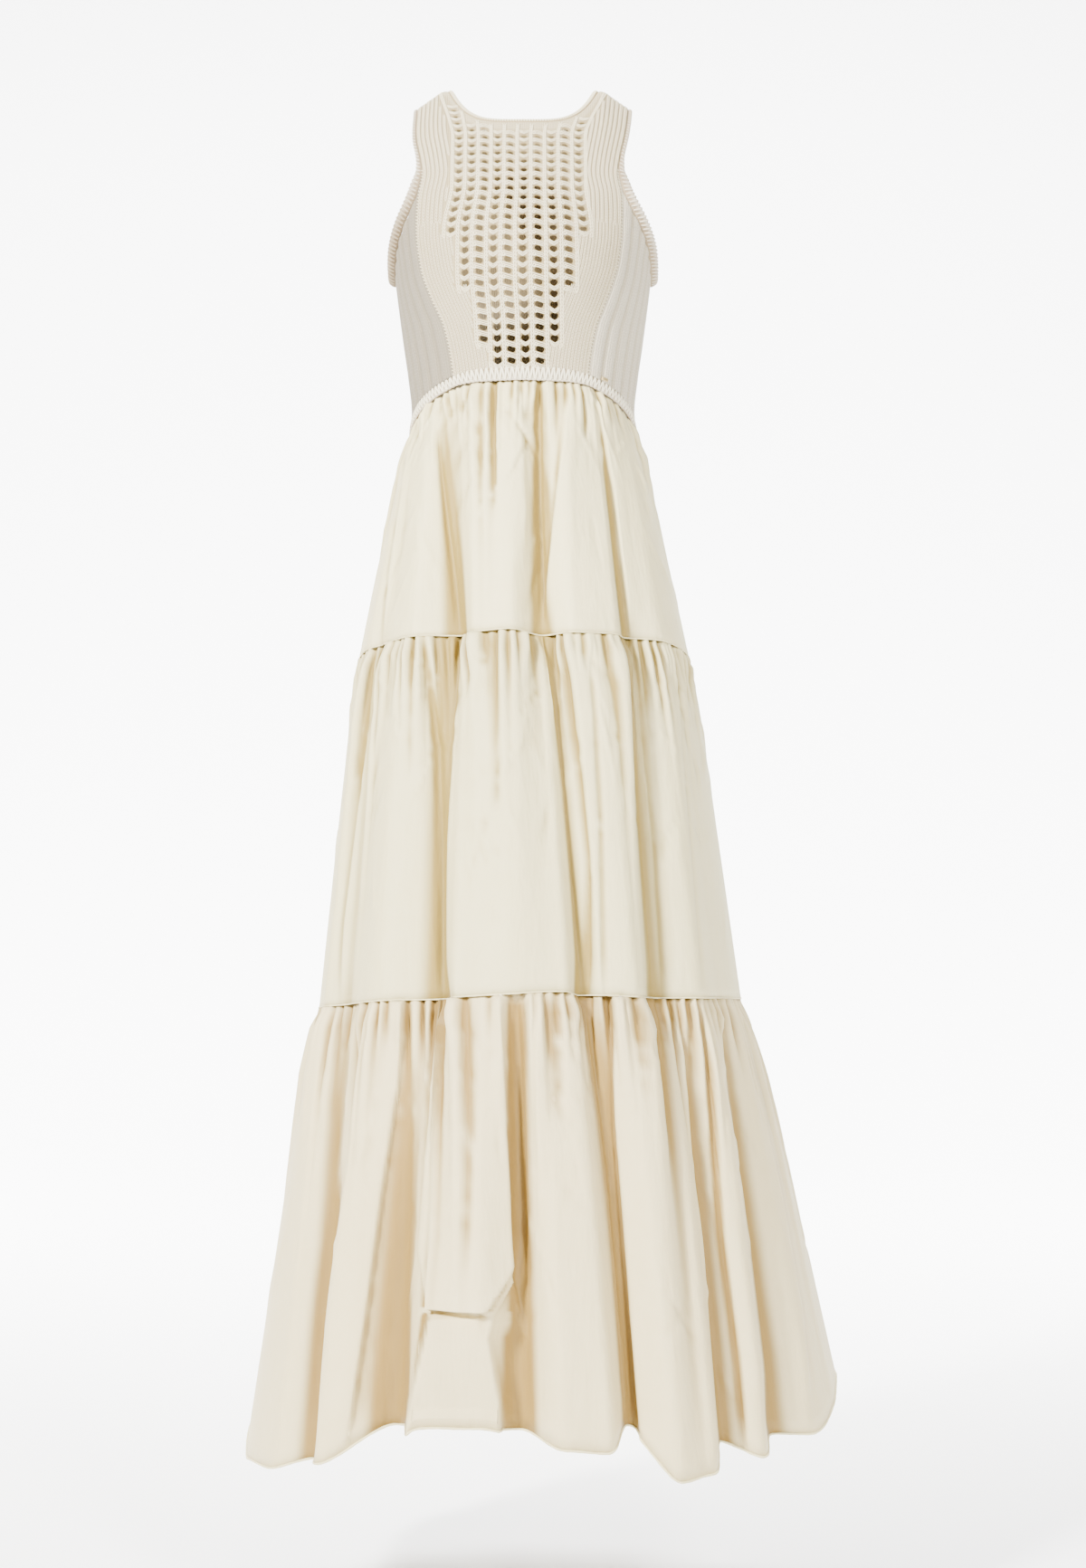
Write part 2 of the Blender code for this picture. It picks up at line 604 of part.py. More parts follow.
# Half of a band's outline across its width (-1 at the knit, 1 at its free edge) and thickness
BAND_SECTION = [(-1.0, -0.62), (0.15, -1.0), (1.0, -0.5), (1.0, 0.5), (0.15, 1.0), (-1.0, 0.62)]


def add_band(name, edge, width_at, thickness, material, flare_at=None):
    """A knitted band sewn round a closed edge of the bodice, whose free side faces away from it."""
    count = len(edge)
    middles = np.array([point for point, _ in edge])
    points = []
    for i, (middle, normal) in enumerate(edge):
        along = unit(middles[(i + 1) % count] - middles[i - 1])
        normal = unit(normal - along * np.dot(normal, along))
        away = np.cross(along, normal)
        flare = math.radians(flare_at(middle)) if flare_at else 0.0
        across = away * math.cos(flare) + normal * math.sin(flare)
        thick = normal * math.cos(flare) - away * math.sin(flare)
        width = width_at(middle, across)
        centre = middle + across * (SEAM_GAP + KNIT_THICKNESS / 2 * math.sin(flare) + width / 2)
        for a, b in BAND_SECTION:
            points.append(centre + across * a * width / 2 + thick * b * thickness / 2)
    sides = len(BAND_SECTION)
    faces = []
    for i in range(count):
        for k in range(sides):
            j, m = (i + 1) % count, (k + 1) % sides
            faces.append((i * sides + k, i * sides + m, j * sides + m, j * sides + k))
    return add_object(name, points, faces, material)


def joined(*edges):
    """Edges of several panels as one path, with one point where two panels meet."""
    path = []
    for edge in edges:
        for point, normal in edge:
            if path and np.linalg.norm(path[-1][0] - point) < SAME_PLACE:
                path[-1] = (0.5 * (path[-1][0] + point), unit(path[-1][1] + normal))
            else:
                path.append((point, normal))
    if np.linalg.norm(path[-1][0] - path[0][0]) < SAME_PLACE:
        last_point, last_normal = path.pop()
        path[0] = (0.5 * (path[0][0] + last_point), unit(path[0][1] + last_normal))
    return path


def eased(share):
    """0 to 1 with level ends."""
    share = min(1.0, max(0.0, share))
    return share * share * (3 - 2 * share)


def armhole_width(point, across):
    """The overcast edge is narrow along the strap and wide from its join down to the underarm."""
    share = eased((ARMHOLE_EDGE_WIDENS_FROM_Z - point[2]) / ARMHOLE_EDGE_WIDENS_OVER)
    return STRAP_EDGE_WIDTH + (ARMHOLE_EDGE_WIDTH - STRAP_EDGE_WIDTH) * share


def armhole_flare(point):
    """It turns out from the body as it nears the underarm."""
    return ARMHOLE_EDGE_FLARE * eased((ARMHOLE_EDGE_FLARES_FROM_Z - point[2]) / ARMHOLE_EDGE_FLARES_OVER)


def waist_width(point, across):
    angle = math.degrees(math.atan2(abs(point[0]), -point[1]))
    return (waist_height(angle) - SEAM_GAP) * abs(across[2])


def build_bodice(knit, edging, metal):
    front_neck, front_waist, front_straps = build_front(knit)
    side_waists, side_armholes = {}, {}
    for side, name in ((1, "bodice_side_left"), (-1, "bodice_side_right")):
        side_waists[side], side_armholes[side] = build_side(side, name, knit)
    back_neck, back_waist, back_armholes = build_back(knit)

    neck = joined(front_neck, back_neck[::-1])
    add_band("neck_edge", neck[::-1], lambda point, across: NECK_EDGE_WIDTH, NECK_EDGE_THICKNESS, edging)
    for side, name in ((1, "armhole_edge_left"), (-1, "armhole_edge_right")):
        path = joined(front_straps[side], side_armholes[side], back_armholes[side][::-1])
        if side > 0:
            path = path[::-1]
        add_band(name, path, armhole_width, ARMHOLE_EDGE_THICKNESS, edging, armhole_flare)
    waist = joined(front_waist, side_waists[1], back_waist[::-1], side_waists[-1][::-1])
    add_band("waist_edge", waist, waist_width, WAIST_EDGE_THICKNESS, edging)
    add_tag(metal)


def add_tag(material):
    """Plain metal tag sewn on the wearer's left, just over the waist edge."""
    z = waist_z(TAG_ANGLE) + waist_height(TAG_ANGLE) + TAG_ABOVE_WAIST_EDGE
    down = torso.down_to(z)
    normal = torso.normal(TAG_ANGLE, down)
    across = unit(torso.point(TAG_ANGLE + 2, torso.down_to(z - 0.002)) - torso.point(TAG_ANGLE - 2, down))
    across = unit(across - normal * np.dot(across, normal))
    up = np.cross(normal, across)
    centre = torso.point(TAG_ANGLE, down) + normal * (TAG_CLEARANCE + TAG_THICKNESS / 2)
    shape = bmesh.new()
    bmesh.ops.create_cube(shape, size=1.0)
    bmesh.ops.scale(shape, vec=(TAG_LENGTH, TAG_HEIGHT, TAG_THICKNESS), verts=shape.verts)
    turn = Matrix((across, up, normal)).transposed().to_4x4()
    bmesh.ops.transform(shape, matrix=Matrix.Translation(Vector(centre)) @ turn, verts=shape.verts)
    bmesh.ops.bevel(shape, geom=shape.edges[:], offset=TAG_BEVEL, segments=1, affect="EDGES")
    mesh = bpy.data.meshes.new("hem_tag")
    shape.to_mesh(mesh)
    shape.free()
    mesh.materials.append(material)
    obj = bpy.data.objects.new("hem_tag", mesh)
    bpy.context.collection.objects.link(obj)


class HalfEdge:
    """Half of a ring round the skirt, from the -X side seam to the +X one, as a line of points."""

    def __init__(self, points, knots=(0.0, 1.0)):
        self.points = np.array(points)
        steps = np.linalg.norm(np.diff(self.points[:, :2], axis=0), axis=1)
        length = np.concatenate([[0.0], np.cumsum(steps)])
        self.share = length / length[-1]
        self.knots = [self.share[k] for k in knots] if knots != (0.0, 1.0) else knots

    def at(self, share):
        return np.array([np.interp(share, self.share, self.points[:, axis]) for axis in range(3)])

    def share_at_x(self, x):
        return float(np.interp(x, np.maximum.accumulate(self.points[:, 0]), self.share))


def waist_half(facing):
    """Top of the skirt, just under the waist edge; facing is -1 for the front and 1 for the back."""
    points = []
    for turn in np.linspace(-90.0, 90.0, 91):
        angle = turn if facing < 0 else 180.0 - turn
        from_front = angle_from_front(angle)
        down = torso.down_to(waist_z(from_front))
        base = torso.point(angle, down) - torso.normal(angle, down) * KNIT_THICKNESS / 2
        points.append((base[0], base[1], waist_z(from_front)))
    return HalfEdge(points)


def ring_point(ring, turn, out, facing):
    """A point of a ring, moved out of it, and its direction towards the +X side seam."""
    side, forward = math.sin(math.radians(turn)), math.cos(math.radians(turn))
    depth = ring.front if facing < 0 else ring.back
    point = np.array([ring.centre_x + ring.half_width * side, facing * depth * forward])
    outward = unit(np.array([side / ring.half_width, facing * forward / depth]))
    onward = unit(np.array([ring.half_width * forward, -facing * depth * side]))
    return point + outward * out, onward


def ring_height(ring, turn, facing):
    end = ring.z_left if turn < 0 else ring.z_right
    middle = ring.z_front if facing < 0 else ring.z_back
    return end + (middle - end) * (1.0 - (1.0 - math.cos(math.radians(turn))) ** ring.bow)


def folded_half(ring, folds, facing, samples=24):
    """A ring's half with its folds: smooth spans from ridge to valley to ridge."""
    turns, outs, drops, rounds = [-90.0], [0.0], [0.0], [1.0]
    for fold in folds:
        turns.append(math.degrees(math.asin((fold.bottom_x - ring.centre_x) / ring.half_width)))
        outs.append(fold.out)
        drops.append(fold.drop)
        rounds.append(fold.roundness)
    turns, outs, drops, rounds = turns + [90.0], outs + [0.0], drops + [0.0], rounds + [1.0]
    points, knots = [], [0]
    for k in range(len(turns) - 1):
        start, start_way = ring_point(ring, turns[k], outs[k], facing)
        end, end_way = ring_point(ring, turns[k + 1], outs[k + 1], facing)
        reach = np.linalg.norm(end - start)
        for n in range(samples):
            t = n / samples
            plan = ((1 + 2 * t) * (1 - t) ** 2 * start + t * t * (3 - 2 * t) * end
                    + t * (1 - t) ** 2 * reach * rounds[k] * start_way
                    - t * t * (1 - t) * reach * rounds[k + 1] * end_way)
            z = ring_height(ring, turns[k] + (turns[k + 1] - turns[k]) * t, facing)
            points.append((plan[0], plan[1], z - drops[k] - (drops[k + 1] - drops[k]) * eased(t)))
        knots.append(len(points))
    last = ring_point(ring, 90.0, 0.0, facing)[0]
    points.append((last[0], last[1], ring_height(ring, 90.0, facing)))
    return HalfEdge(points, knots)


def mirrored(folds, ring):
    """The back's folds: the front's in mirror image, a little shallower."""
    middle = 2 * ring.centre_x
    return [Fold(-fold.top_x, middle - fold.bottom_x, BACK_FOLD_SHARE * fold.out, BACK_DROP_SHARE * fold.drop,
                 fold.roundness) for fold in reversed(folds)]


def build_half_tier(name, upper, lower, folds, facing, gathers, rows, puff, depth, material, tuck=False):
    """Half of a tier: a wall that hangs from the upper edge to the folded lower one."""
    count = gathers
    top_knots = [0.0] + [upper.share_at_x(fold.top_x) for fold in folds] + [1.0]
    grid = np.zeros((len(rows), count + 1, 3))
    for i in range(count + 1):
        share = i / count
        bottom = lower.at(share)
        top = upper.at(float(np.interp(share, lower.knots, np.maximum.accumulate(top_knots))))
        top[2] -= SKIRT_SEAM_GAP
        for r, row in enumerate(rows):
            spread = (1 - puff) * row + puff * (1 - math.exp(-(row / PUFF_DROP) ** PUFF_POWER))
            grid[r, i, :2] = top[:2] + (bottom[:2] - top[:2]) * spread
            grid[r, i, 2] = top[2] + (bottom[2] - top[2]) * row
    onward = np.gradient(grid[:, :, :2], axis=1)
    onward /= np.linalg.norm(onward, axis=2, keepdims=True)
    outward = np.stack([-onward[:, :, 1], onward[:, :, 0]], axis=2) * facing
    for r, row in enumerate(rows):
        swell = depth * (GATHER_AT_SEAM if r == 0 else math.exp(-GATHER_FADE * row))
        for i in range(count + 1):
            grid[r, i, :2] += outward[r, i] * swell * (1 if i % 2 == 0 else -1)
            if tuck and TUCK_LEFT_X < grid[r, i, 0] < TUCK_RIGHT_X:
                if r == TUCK_BELOW_ROW:
                    grid[r, i, :2] -= outward[r, i] * TUCK_STEP_IN
                elif r == TUCK_ABOVE_ROW:
                    grid[r, i, :2] += outward[r, i] * TUCK_BULGE
    grid[:, 0, 1] += facing * PANEL_END_GAP
    grid[:, -1, 1] += facing * PANEL_END_GAP
    across = np.gradient(grid, axis=1)
    along = np.gradient(grid, axis=0)
    normal = np.cross(along, across) * -facing
    normal[:, 0, 1] = 0.0
    normal[:, -1, 1] = 0.0
    normal[0, :, 2] = 0.0
    normal[-1, :, 2] = 0.0
    normal /= np.linalg.norm(normal, axis=2, keepdims=True)
    inner = grid - normal * POPLIN_THICKNESS
    width = count + 1
    faces = []
    for r in range(len(rows) - 1):
        for i in range(count):
            a, b = r * width + i, (r + 1) * width + i
            around = (b, b + 1, a + 1, a) if facing < 0 else (b + 1, b, a, a + 1)
            faces.append((around[0], around[1], around[2]))
            faces.append((around[0], around[2], around[3]))
    add_wall(name, grid.reshape(-1, 3), inner.reshape(-1, 3), faces, material)


def build_skirt(poplin):
    for facing, word in ((-1, "front"), (1, "back")):
        waist = waist_half(facing)
        folds_1 = TIER_1_FOLDS if facing < 0 else mirrored(TIER_1_FOLDS, SEAM_1)
        folds_2 = TIER_2_FOLDS if facing < 0 else mirrored(TIER_2_FOLDS, SEAM_2)
        folds_3 = TIER_3_FOLDS if facing < 0 else mirrored(TIER_3_FOLDS, HEM)
        seam_1 = folded_half(SEAM_1, folds_1, facing)
        seam_2 = folded_half(SEAM_2, folds_2, facing)
        hem = folded_half(HEM, folds_3, facing)
        rows_3 = TIER_3_FRONT_ROWS if facing < 0 else TIER_ROWS
        build_half_tier("tier_1_" + word, waist, seam_1, folds_1, facing, GATHERS_AT_WAIST,
                        TIER_ROWS, 0.20, 0.0028, poplin)
        build_half_tier("tier_2_" + word, seam_1, seam_2, folds_2, facing, GATHERS_AT_SEAM_1,
                        TIER_ROWS, 0.11, 0.0026, poplin)
        build_half_tier("tier_3_" + word, seam_2, hem, folds_3, facing, GATHERS_AT_SEAM_2,
                        rows_3, 0.10, 0.0030, poplin, tuck=facing < 0)


clear_scene()
knit_yarn = make_material("cream cotton knit", (0.83, 0.79, 0.71), 0.85)
edging_yarn = make_material("overcast knit edge", (0.80, 0.74, 0.63), 0.85)
tag_metal = make_material("pale gold metal", (0.72, 0.62, 0.44), 0.35, 1.0)
cream_poplin = make_material("cream poplin", (0.86, 0.80, 0.66), 0.60)
build_bodice(knit_yarn, edging_yarn, tag_metal)
build_skirt(cream_poplin)
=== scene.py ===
"""Sleeveless maxi dress as it looks: an openwork cotton knit bodice on a gathered, tiered poplin skirt."""
import math
from collections import namedtuple

import bpy
import numpy as np
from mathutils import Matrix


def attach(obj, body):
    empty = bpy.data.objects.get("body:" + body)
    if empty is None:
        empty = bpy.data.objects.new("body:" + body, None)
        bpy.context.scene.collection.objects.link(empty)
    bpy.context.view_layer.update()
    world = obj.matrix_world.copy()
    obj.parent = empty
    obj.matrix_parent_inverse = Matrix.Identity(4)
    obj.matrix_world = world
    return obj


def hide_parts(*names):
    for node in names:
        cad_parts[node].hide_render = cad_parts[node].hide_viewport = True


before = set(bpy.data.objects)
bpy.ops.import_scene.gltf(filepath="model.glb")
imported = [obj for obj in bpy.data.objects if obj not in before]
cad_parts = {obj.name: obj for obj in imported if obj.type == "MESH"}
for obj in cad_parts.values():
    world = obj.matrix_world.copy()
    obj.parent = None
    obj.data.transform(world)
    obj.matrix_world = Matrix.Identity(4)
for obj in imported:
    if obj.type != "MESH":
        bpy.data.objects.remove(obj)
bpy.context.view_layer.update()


# Front knit panel
# The panel between the two curved princess seams, knitted in thick cream cotton. Its middle is an
# openwork ladder: ten columns of holes between narrow bars of stitches, with plain knit either side.
def table(columns, *rows):
    """Rows of a table, with each value under its column's name."""
    row = namedtuple("Row", columns)
    return [row(*values) for values in rows]


TORSO = table(
    "z half_width front back",
    (0.000, 0.1600, 0.0000, 0.0000), (-0.0035, 0.1600, 0.0115, 0.0120), (-0.013, 0.1600, 0.0240, 0.0270),
    (-0.030, 0.1600, 0.0420, 0.0460), (-0.050, 0.1595, 0.0600, 0.0620), (-0.087, 0.1555, 0.0850, 0.0830),
    (-0.120, 0.1510, 0.1020, 0.0930), (-0.156, 0.1430, 0.1160, 0.0990), (-0.190, 0.1370, 0.1230, 0.0990),
    (-0.2134, 0.1345, 0.1225, 0.0960), (-0.245, 0.1305, 0.1155, 0.0910), (-0.275, 0.1265, 0.1070, 0.0860),
    (-0.310, 0.1215, 0.0990, 0.0820), (-0.345, 0.1180, 0.0940, 0.0810), (-0.372, 0.1215, 0.0960, 0.0840),
    (-0.410, 0.1260, 0.1000, 0.0880))
SHOULDER_SLOPE, SHOULDER_SLOPE_STARTS_AT, SHOULDER_SLOPE_ENDS_BELOW = 0.70, 0.085, 0.10
KNIT_THICKNESS = 0.0022
NECK_HALF_ANGLE, FRONT_NECK_DEPTH, NECK_CORNER_POWER = 30.5, 0.0464, 4.0
FRONT_PANEL_EDGE = table(
    "z angle", (0.000, 44.8), (-0.040, 44.0), (-0.087, 42.0), (-0.100, 41.7), (-0.130, 45.5), (-0.156, 48.5),
    (-0.180, 50.0), (-0.200, 49.3), (-0.235, 44.3), (-0.250, 41.3), (-0.263, 38.7), (-0.289, 36.5),
    (-0.330, 35.2))
LATTICE = table(
    "z centre_x pitch hole_width hole_height",
    (0.000, 0.0000, 0.0178, 0.0040, 0.0042), (-0.020, -0.0020, 0.0165, 0.0046, 0.0046),
    (-0.040, -0.0042, 0.0150, 0.0052, 0.0050), (-0.063, -0.0057, 0.0139, 0.0056, 0.0052),
    (-0.117, -0.0057, 0.0139, 0.0064, 0.0058), (-0.167, -0.0076, 0.0153, 0.0072, 0.0062),
    (-0.214, -0.0076, 0.0155, 0.0078, 0.0068), (-0.260, -0.0052, 0.0149, 0.0082, 0.0076),
    (-0.330, -0.0035, 0.0146, 0.0084, 0.0084))
LATTICE_REACH = table(
    "z columns", (0.000, 5.0), (-0.170, 5.0), (-0.226, 4.0), (-0.285, 3.0), (-0.306, 2.0), (-0.330, 2.0))
WAIST_EDGE = table(
    "angle z height",
    (0.0, -0.3225, 0.0135), (20.0, -0.3238, 0.0130), (33.0, -0.3262, 0.0115), (46.0, -0.3325, 0.0100),
    (60.0, -0.3420, 0.0100), (72.0, -0.3510, 0.0100), (82.0, -0.3600, 0.0100), (90.0, -0.3680, 0.0100),
    (110.0, -0.3800, 0.0110), (140.0, -0.3880, 0.0110), (180.0, -0.3900, 0.0110))
COURSE_PITCH, COURSES, STITCH_HEIGHT = 0.0115, 40, 0.0032
LAST_LINE, MIDDLE_COLUMN, HOLE_COLUMNS, OBLONG_COLUMNS = 8, 5.5, 10, (3, 5, 7, 9)
INSIDE_SHADE = table("z share", (0.000, 1.0), (-0.170, 1.0), (-0.340, 0.1))


def hermite(t, start, end, start_slope, end_slope):
    """A smooth span from start to end, with a slope given at each; t runs from 0 to 1."""
    return ((1 + 2 * t) * (1 - t) ** 2 * start + t * (1 - t) ** 2 * start_slope
            + t * t * (3 - 2 * t) * end - t * t * (1 - t) * end_slope)


class Curve:
    """A smooth curve through points with rising x, which never swings past them."""

    def __init__(self, xs, ys):
        self.x, self.y = np.array(xs, float), np.array(ys, float)
        width = np.diff(self.x)
        slope = np.diff(self.y) / width
        self.tangent = np.zeros(len(self.x))
        self.tangent[0], self.tangent[-1] = slope[0], slope[-1]
        for i in range(1, len(slope)):
            if slope[i - 1] * slope[i] > 0:
                before, after = 2 * width[i] + width[i - 1], width[i] + 2 * width[i - 1]
                self.tangent[i] = (before + after) / (before / slope[i - 1] + after / slope[i])

    def __call__(self, x):
        x = np.clip(x, self.x[0], self.x[-1])
        i = np.clip(np.searchsorted(self.x, x, side="right") - 1, 0, len(self.x) - 2)
        width = self.x[i + 1] - self.x[i]
        return hermite((x - self.x[i]) / width, self.y[i], self.y[i + 1],
                       width * self.tangent[i], width * self.tangent[i + 1])


def curve(rows, over, of):
    """Curve of one column of a table over another; heights count downwards."""
    sign = -1 if over == "z" else 1
    return Curve([sign * getattr(row, over) for row in rows], [getattr(row, of) for row in rows])


def unit(vectors):
    return vectors / np.maximum(1e-12, np.linalg.norm(vectors, axis=-1, keepdims=True))


def ease(share):
    """0 to 1 with level ends."""
    share = np.clip(share, 0.0, 1.0)
    return share * share * (3 - 2 * share)


def run_of(points):
    """Distance along a line to each of its points."""
    return np.concatenate([[0.0], np.cumsum(np.linalg.norm(np.diff(points, axis=0), axis=1))])


class Torso:
    """The bodice's surface, by the angle from the front centre and the distance down the front."""

    def __init__(self):
        down = run_of(np.array([(row.z, row.front) for row in TORSO]))
        self.length = down[-1]
        self.z, self.half_width, self.front, self.back = [
            Curve(down, [getattr(row, column) for row in TORSO]) for column in TORSO[0]._fields]
        self.downs = np.linspace(0.0, self.length, 4000)
        self.depths = -self.z(self.downs)

    def down_to(self, z):
        return np.interp(-np.asarray(z), self.depths, self.downs)

    def point(self, angle, down):
        angle, down = np.broadcast_arrays(np.radians(angle), down)
        side, forward = np.sin(angle), np.cos(angle)
        depth = np.where(forward >= 0, self.front(down), self.back(down))
        x, z = self.half_width(down) * side, self.z(down)
        slope = SHOULDER_SLOPE * np.maximum(0.0, 1.0 + z / SHOULDER_SLOPE_ENDS_BELOW)
        z = z - slope * np.maximum(0.0, np.abs(x) - SHOULDER_SLOPE_STARTS_AT)
        return np.stack([x, -depth * forward, z], axis=-1)

    def normal(self, angle, down):
        step = 0.0005
        across = self.point(angle + 0.1, down) - self.point(angle - 0.1, down)
        along = self.point(angle, down + step) - self.point(angle, np.maximum(0.0, down - step))
        normal = np.cross(along, across)
        normal[..., 1] = np.where(down < 1e-6, 0.0, normal[..., 1])
        return unit(normal)


torso = Torso()
waist_z, waist_height = [curve(WAIST_EDGE, "angle", column) for column in ("z", "height")]
panel_edge_angle = curve(FRONT_PANEL_EDGE, "z", "angle")
lattice_centre, lattice_pitch, hole_width, hole_height = [
    curve(LATTICE, "z", column) for column in LATTICE[0]._fields[1:]]
inside_shade = curve(INSIDE_SHADE, "z", "share")


def lattice_reach(z):
    """How many columns of the ladder lie on either side of its middle."""
    return np.interp(-z, [-row.z for row in LATTICE_REACH], [row.columns for row in LATTICE_REACH])


def angle_from_front(angle):
    """Any angle as one from 0 at the front centre to 180 at the back centre."""
    return np.abs((angle + 180.0) % 360.0 - 180.0)


def neck_z(angle, depth):
    """Height of the neckline at an angle from the front or back centre."""
    return -depth * (1.0 - np.minimum(1.0, np.abs(angle) / NECK_HALF_ANGLE) ** NECK_CORNER_POWER)


def falls_below(function, low, high):
    """Where a function that falls from above to below zero crosses it, for each of its entries."""
    low, high = np.array(low, float), np.array(high, float)
    for _ in range(36):
        middle = 0.5 * (low + high)
        above = function(middle) > 0
        low, high = np.where(above, middle, low), np.where(above, high, middle)
    return 0.5 * (low + high)


def waist_top(angle):
    """Height of the waist edge's upper side."""
    own = angle_from_front(angle)
    return waist_z(own) + waist_height(own)


def knit_bottom(angle_at, count):
    """Distance down each line of the knit to the top of the waist edge."""
    return falls_below(lambda down: torso.z(down) - waist_top(angle_at(down)),
                       np.full(count, 0.10), np.full(count, torso.length))


def front_line_x(line, down):
    """X of a line of the front panel: 0 in the middle, 8 on its left edge, -8 on its right."""
    z = torso.z(down)
    edge = torso.half_width(down) * np.sin(np.radians(panel_edge_angle(-z)))
    pitch, reach, step = lattice_pitch(-z), lattice_reach(z), np.abs(line)
    beyond = reach * pitch + (step - reach) / (LAST_LINE - reach) * (edge - reach * pitch)
    x = np.where(step <= reach, step * pitch, beyond)
    return np.copysign(x, line) + lattice_centre(-z) * (1.0 - 0.5 * np.minimum(1.0, x / edge))


def front_angle_at_x(x, down):
    return np.degrees(np.arcsin(np.clip(x / torso.half_width(down), -1.0, 1.0)))


def front_angle(line, down):
    return front_angle_at_x(front_line_x(line, down), down)


def add_piece(name, shell, material):
    """One visible piece from its points, its triangles and, for each point, pairs of texture values."""
    points, triangles, *layers = shell
    used, triangles = np.unique(triangles, return_inverse=True)
    triangles = triangles.reshape(-1, 3)
    mesh = bpy.data.meshes.new(name)
    mesh.vertices.add(len(used))
    mesh.vertices.foreach_set("co", points[used].astype(np.float32).ravel())
    mesh.loops.add(triangles.size)
    mesh.loops.foreach_set("vertex_index", triangles.astype(np.int32).ravel())
    mesh.polygons.add(len(triangles))
    mesh.polygons.foreach_set("loop_start", np.arange(0, triangles.size, 3, dtype=np.int32))
    mesh.update(calc_edges=True)
    # The second layer holds each point's share of painted shade.
    for layer_name, values in zip(("stitches", "painted_shade"), layers):
        layer = mesh.uv_layers.new(name=layer_name)
        layer.data.foreach_set("uv", values[used][triangles.ravel()].astype(np.float32).ravel())
    mesh.shade_smooth()
    mesh.materials.append(material)
    piece = bpy.data.objects.new(name, mesh)
    bpy.context.collection.objects.link(piece)
    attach(piece, "root")
    return piece


def squares(a, b, c, d):
    """Both triangles of each square, given its corners in turn."""
    return np.stack([a, b, c, a, c, d], -1).reshape(-1, 3)


def hoops(here, there):
    """Triangles between neighbouring closed rings of points."""
    return squares(here, np.roll(here, -1, axis=-1), np.roll(there, -1, axis=-1), there)


def pairs(*values):
    """Two texture values for each point."""
    return np.stack(np.broadcast_arrays(*values), -1).reshape(-1, 2)


def both_faces(outer, inner, faces, inner_faces, stitches, shade, inner_shade):
    """A shell from its two faces, with rims that join their open edges."""
    count = outer.size // 3
    start, end = faces.ravel(), np.roll(faces, -1, axis=1).ravel()
    open_edge = ~np.isin(start * count + end, end * count + start)
    a, b = start[open_edge], end[open_edge]
    rims = [np.stack([b, a, a + count], 1), np.stack([b, a + count, b + count], 1)]
    return (np.concatenate([outer, inner]).reshape(-1, 3),
            np.concatenate([faces, inner_faces[:, ::-1] + count, *rims]),
            np.concatenate([stitches, stitches]), pairs(np.concatenate([shade, inner_shade]), 0.0))


def knit_shell(angle_at, lines, downs, top, bottom, wales_at, groove_shade_at, relief_at=None, turned=False,
               holes=None):
    """A knitted panel with both faces, its ends cut to a curve, with stitch counts and a share of painted
    shade for each point.
    """
    rows, cols = len(downs), len(lines)
    down = np.clip(downs[:, None], top, bottom)
    line = np.broadcast_to(lines, down.shape)
    first = np.maximum(0, np.searchsorted(downs, top, side="right") - 1)
    last = np.minimum(rows - 1, np.searchsorted(downs, bottom, side="left"))
    index = np.clip(np.arange(rows)[:, None], first, last) * cols + np.arange(cols)
    rim, inside = np.full(down.shape, 9.0), np.zeros(down.shape, bool)
    if holes is not None:
        line, down, rim, inside = holes(line, down)
    angle = angle_at(line, down)
    normal, base = torso.normal(angle, down), torso.point(angle, down)
    swell = 0.45 * KNIT_THICKNESS * (1.0 - ease(rim))[..., None]
    relief = 0.0 if relief_at is None else relief_at(line, down)[..., None]
    outer, inner = base + normal * (relief - swell), base - normal * (KNIT_THICKNESS - swell)
    whole = ~(inside[:-1, :-1] & inside[:-1, 1:] & inside[1:, 1:] & inside[1:, :-1])
    corners = index[:-1, :-1], index[1:, :-1], index[1:, 1:], index[:-1, 1:]
    faces = squares(*[corner[whole] for corner in corners])
    if turned:
        faces = faces[:, ::-1]
    faces = faces[(faces != np.roll(faces, 1, axis=1)).all(axis=1)]
    # Painted shade: darker round the holes' rims and in the grooves; the inner face takes painted shade by
    # height.
    shade = np.maximum(1.0 / (1.0 + 0.4 * np.maximum(0.0, rim) ** 2), groove_shade_at(line, down))
    return both_faces(outer, inner, faces, faces, pairs(wales_at(line, down), down / STITCH_HEIGHT), shade,
                      inside_shade(-torso.z(down)))


def hole_rows(column):
    """Courses that hold a hole in a column, counted from 1 at the wearer's right."""
    line = column - MIDDLE_COLUMN
    lowest = min(row.z for row in LATTICE_REACH if row.columns >= abs(line) + 0.5 and row.z > -0.320)
    course = np.arange(0, COURSES)
    middle = (course + 0.5) * COURSE_PITCH
    z = torso.z(middle)
    under_neck = z < neck_z(front_angle(line, middle), FRONT_NECK_DEPTH) - 0.010
    return course[under_neck & (z < -0.012) & (z > lowest)]


hole_table = np.zeros((HOLE_COLUMNS + 1, COURSES + 1), bool)
for column in range(1, HOLE_COLUMNS + 1):
    hole_table[column, hole_rows(column)] = True


def dip(theta, middle, width):
    """A soft bump round one direction of an outline, in degrees."""
    return np.exp(-((theta - middle) / width) ** 2)


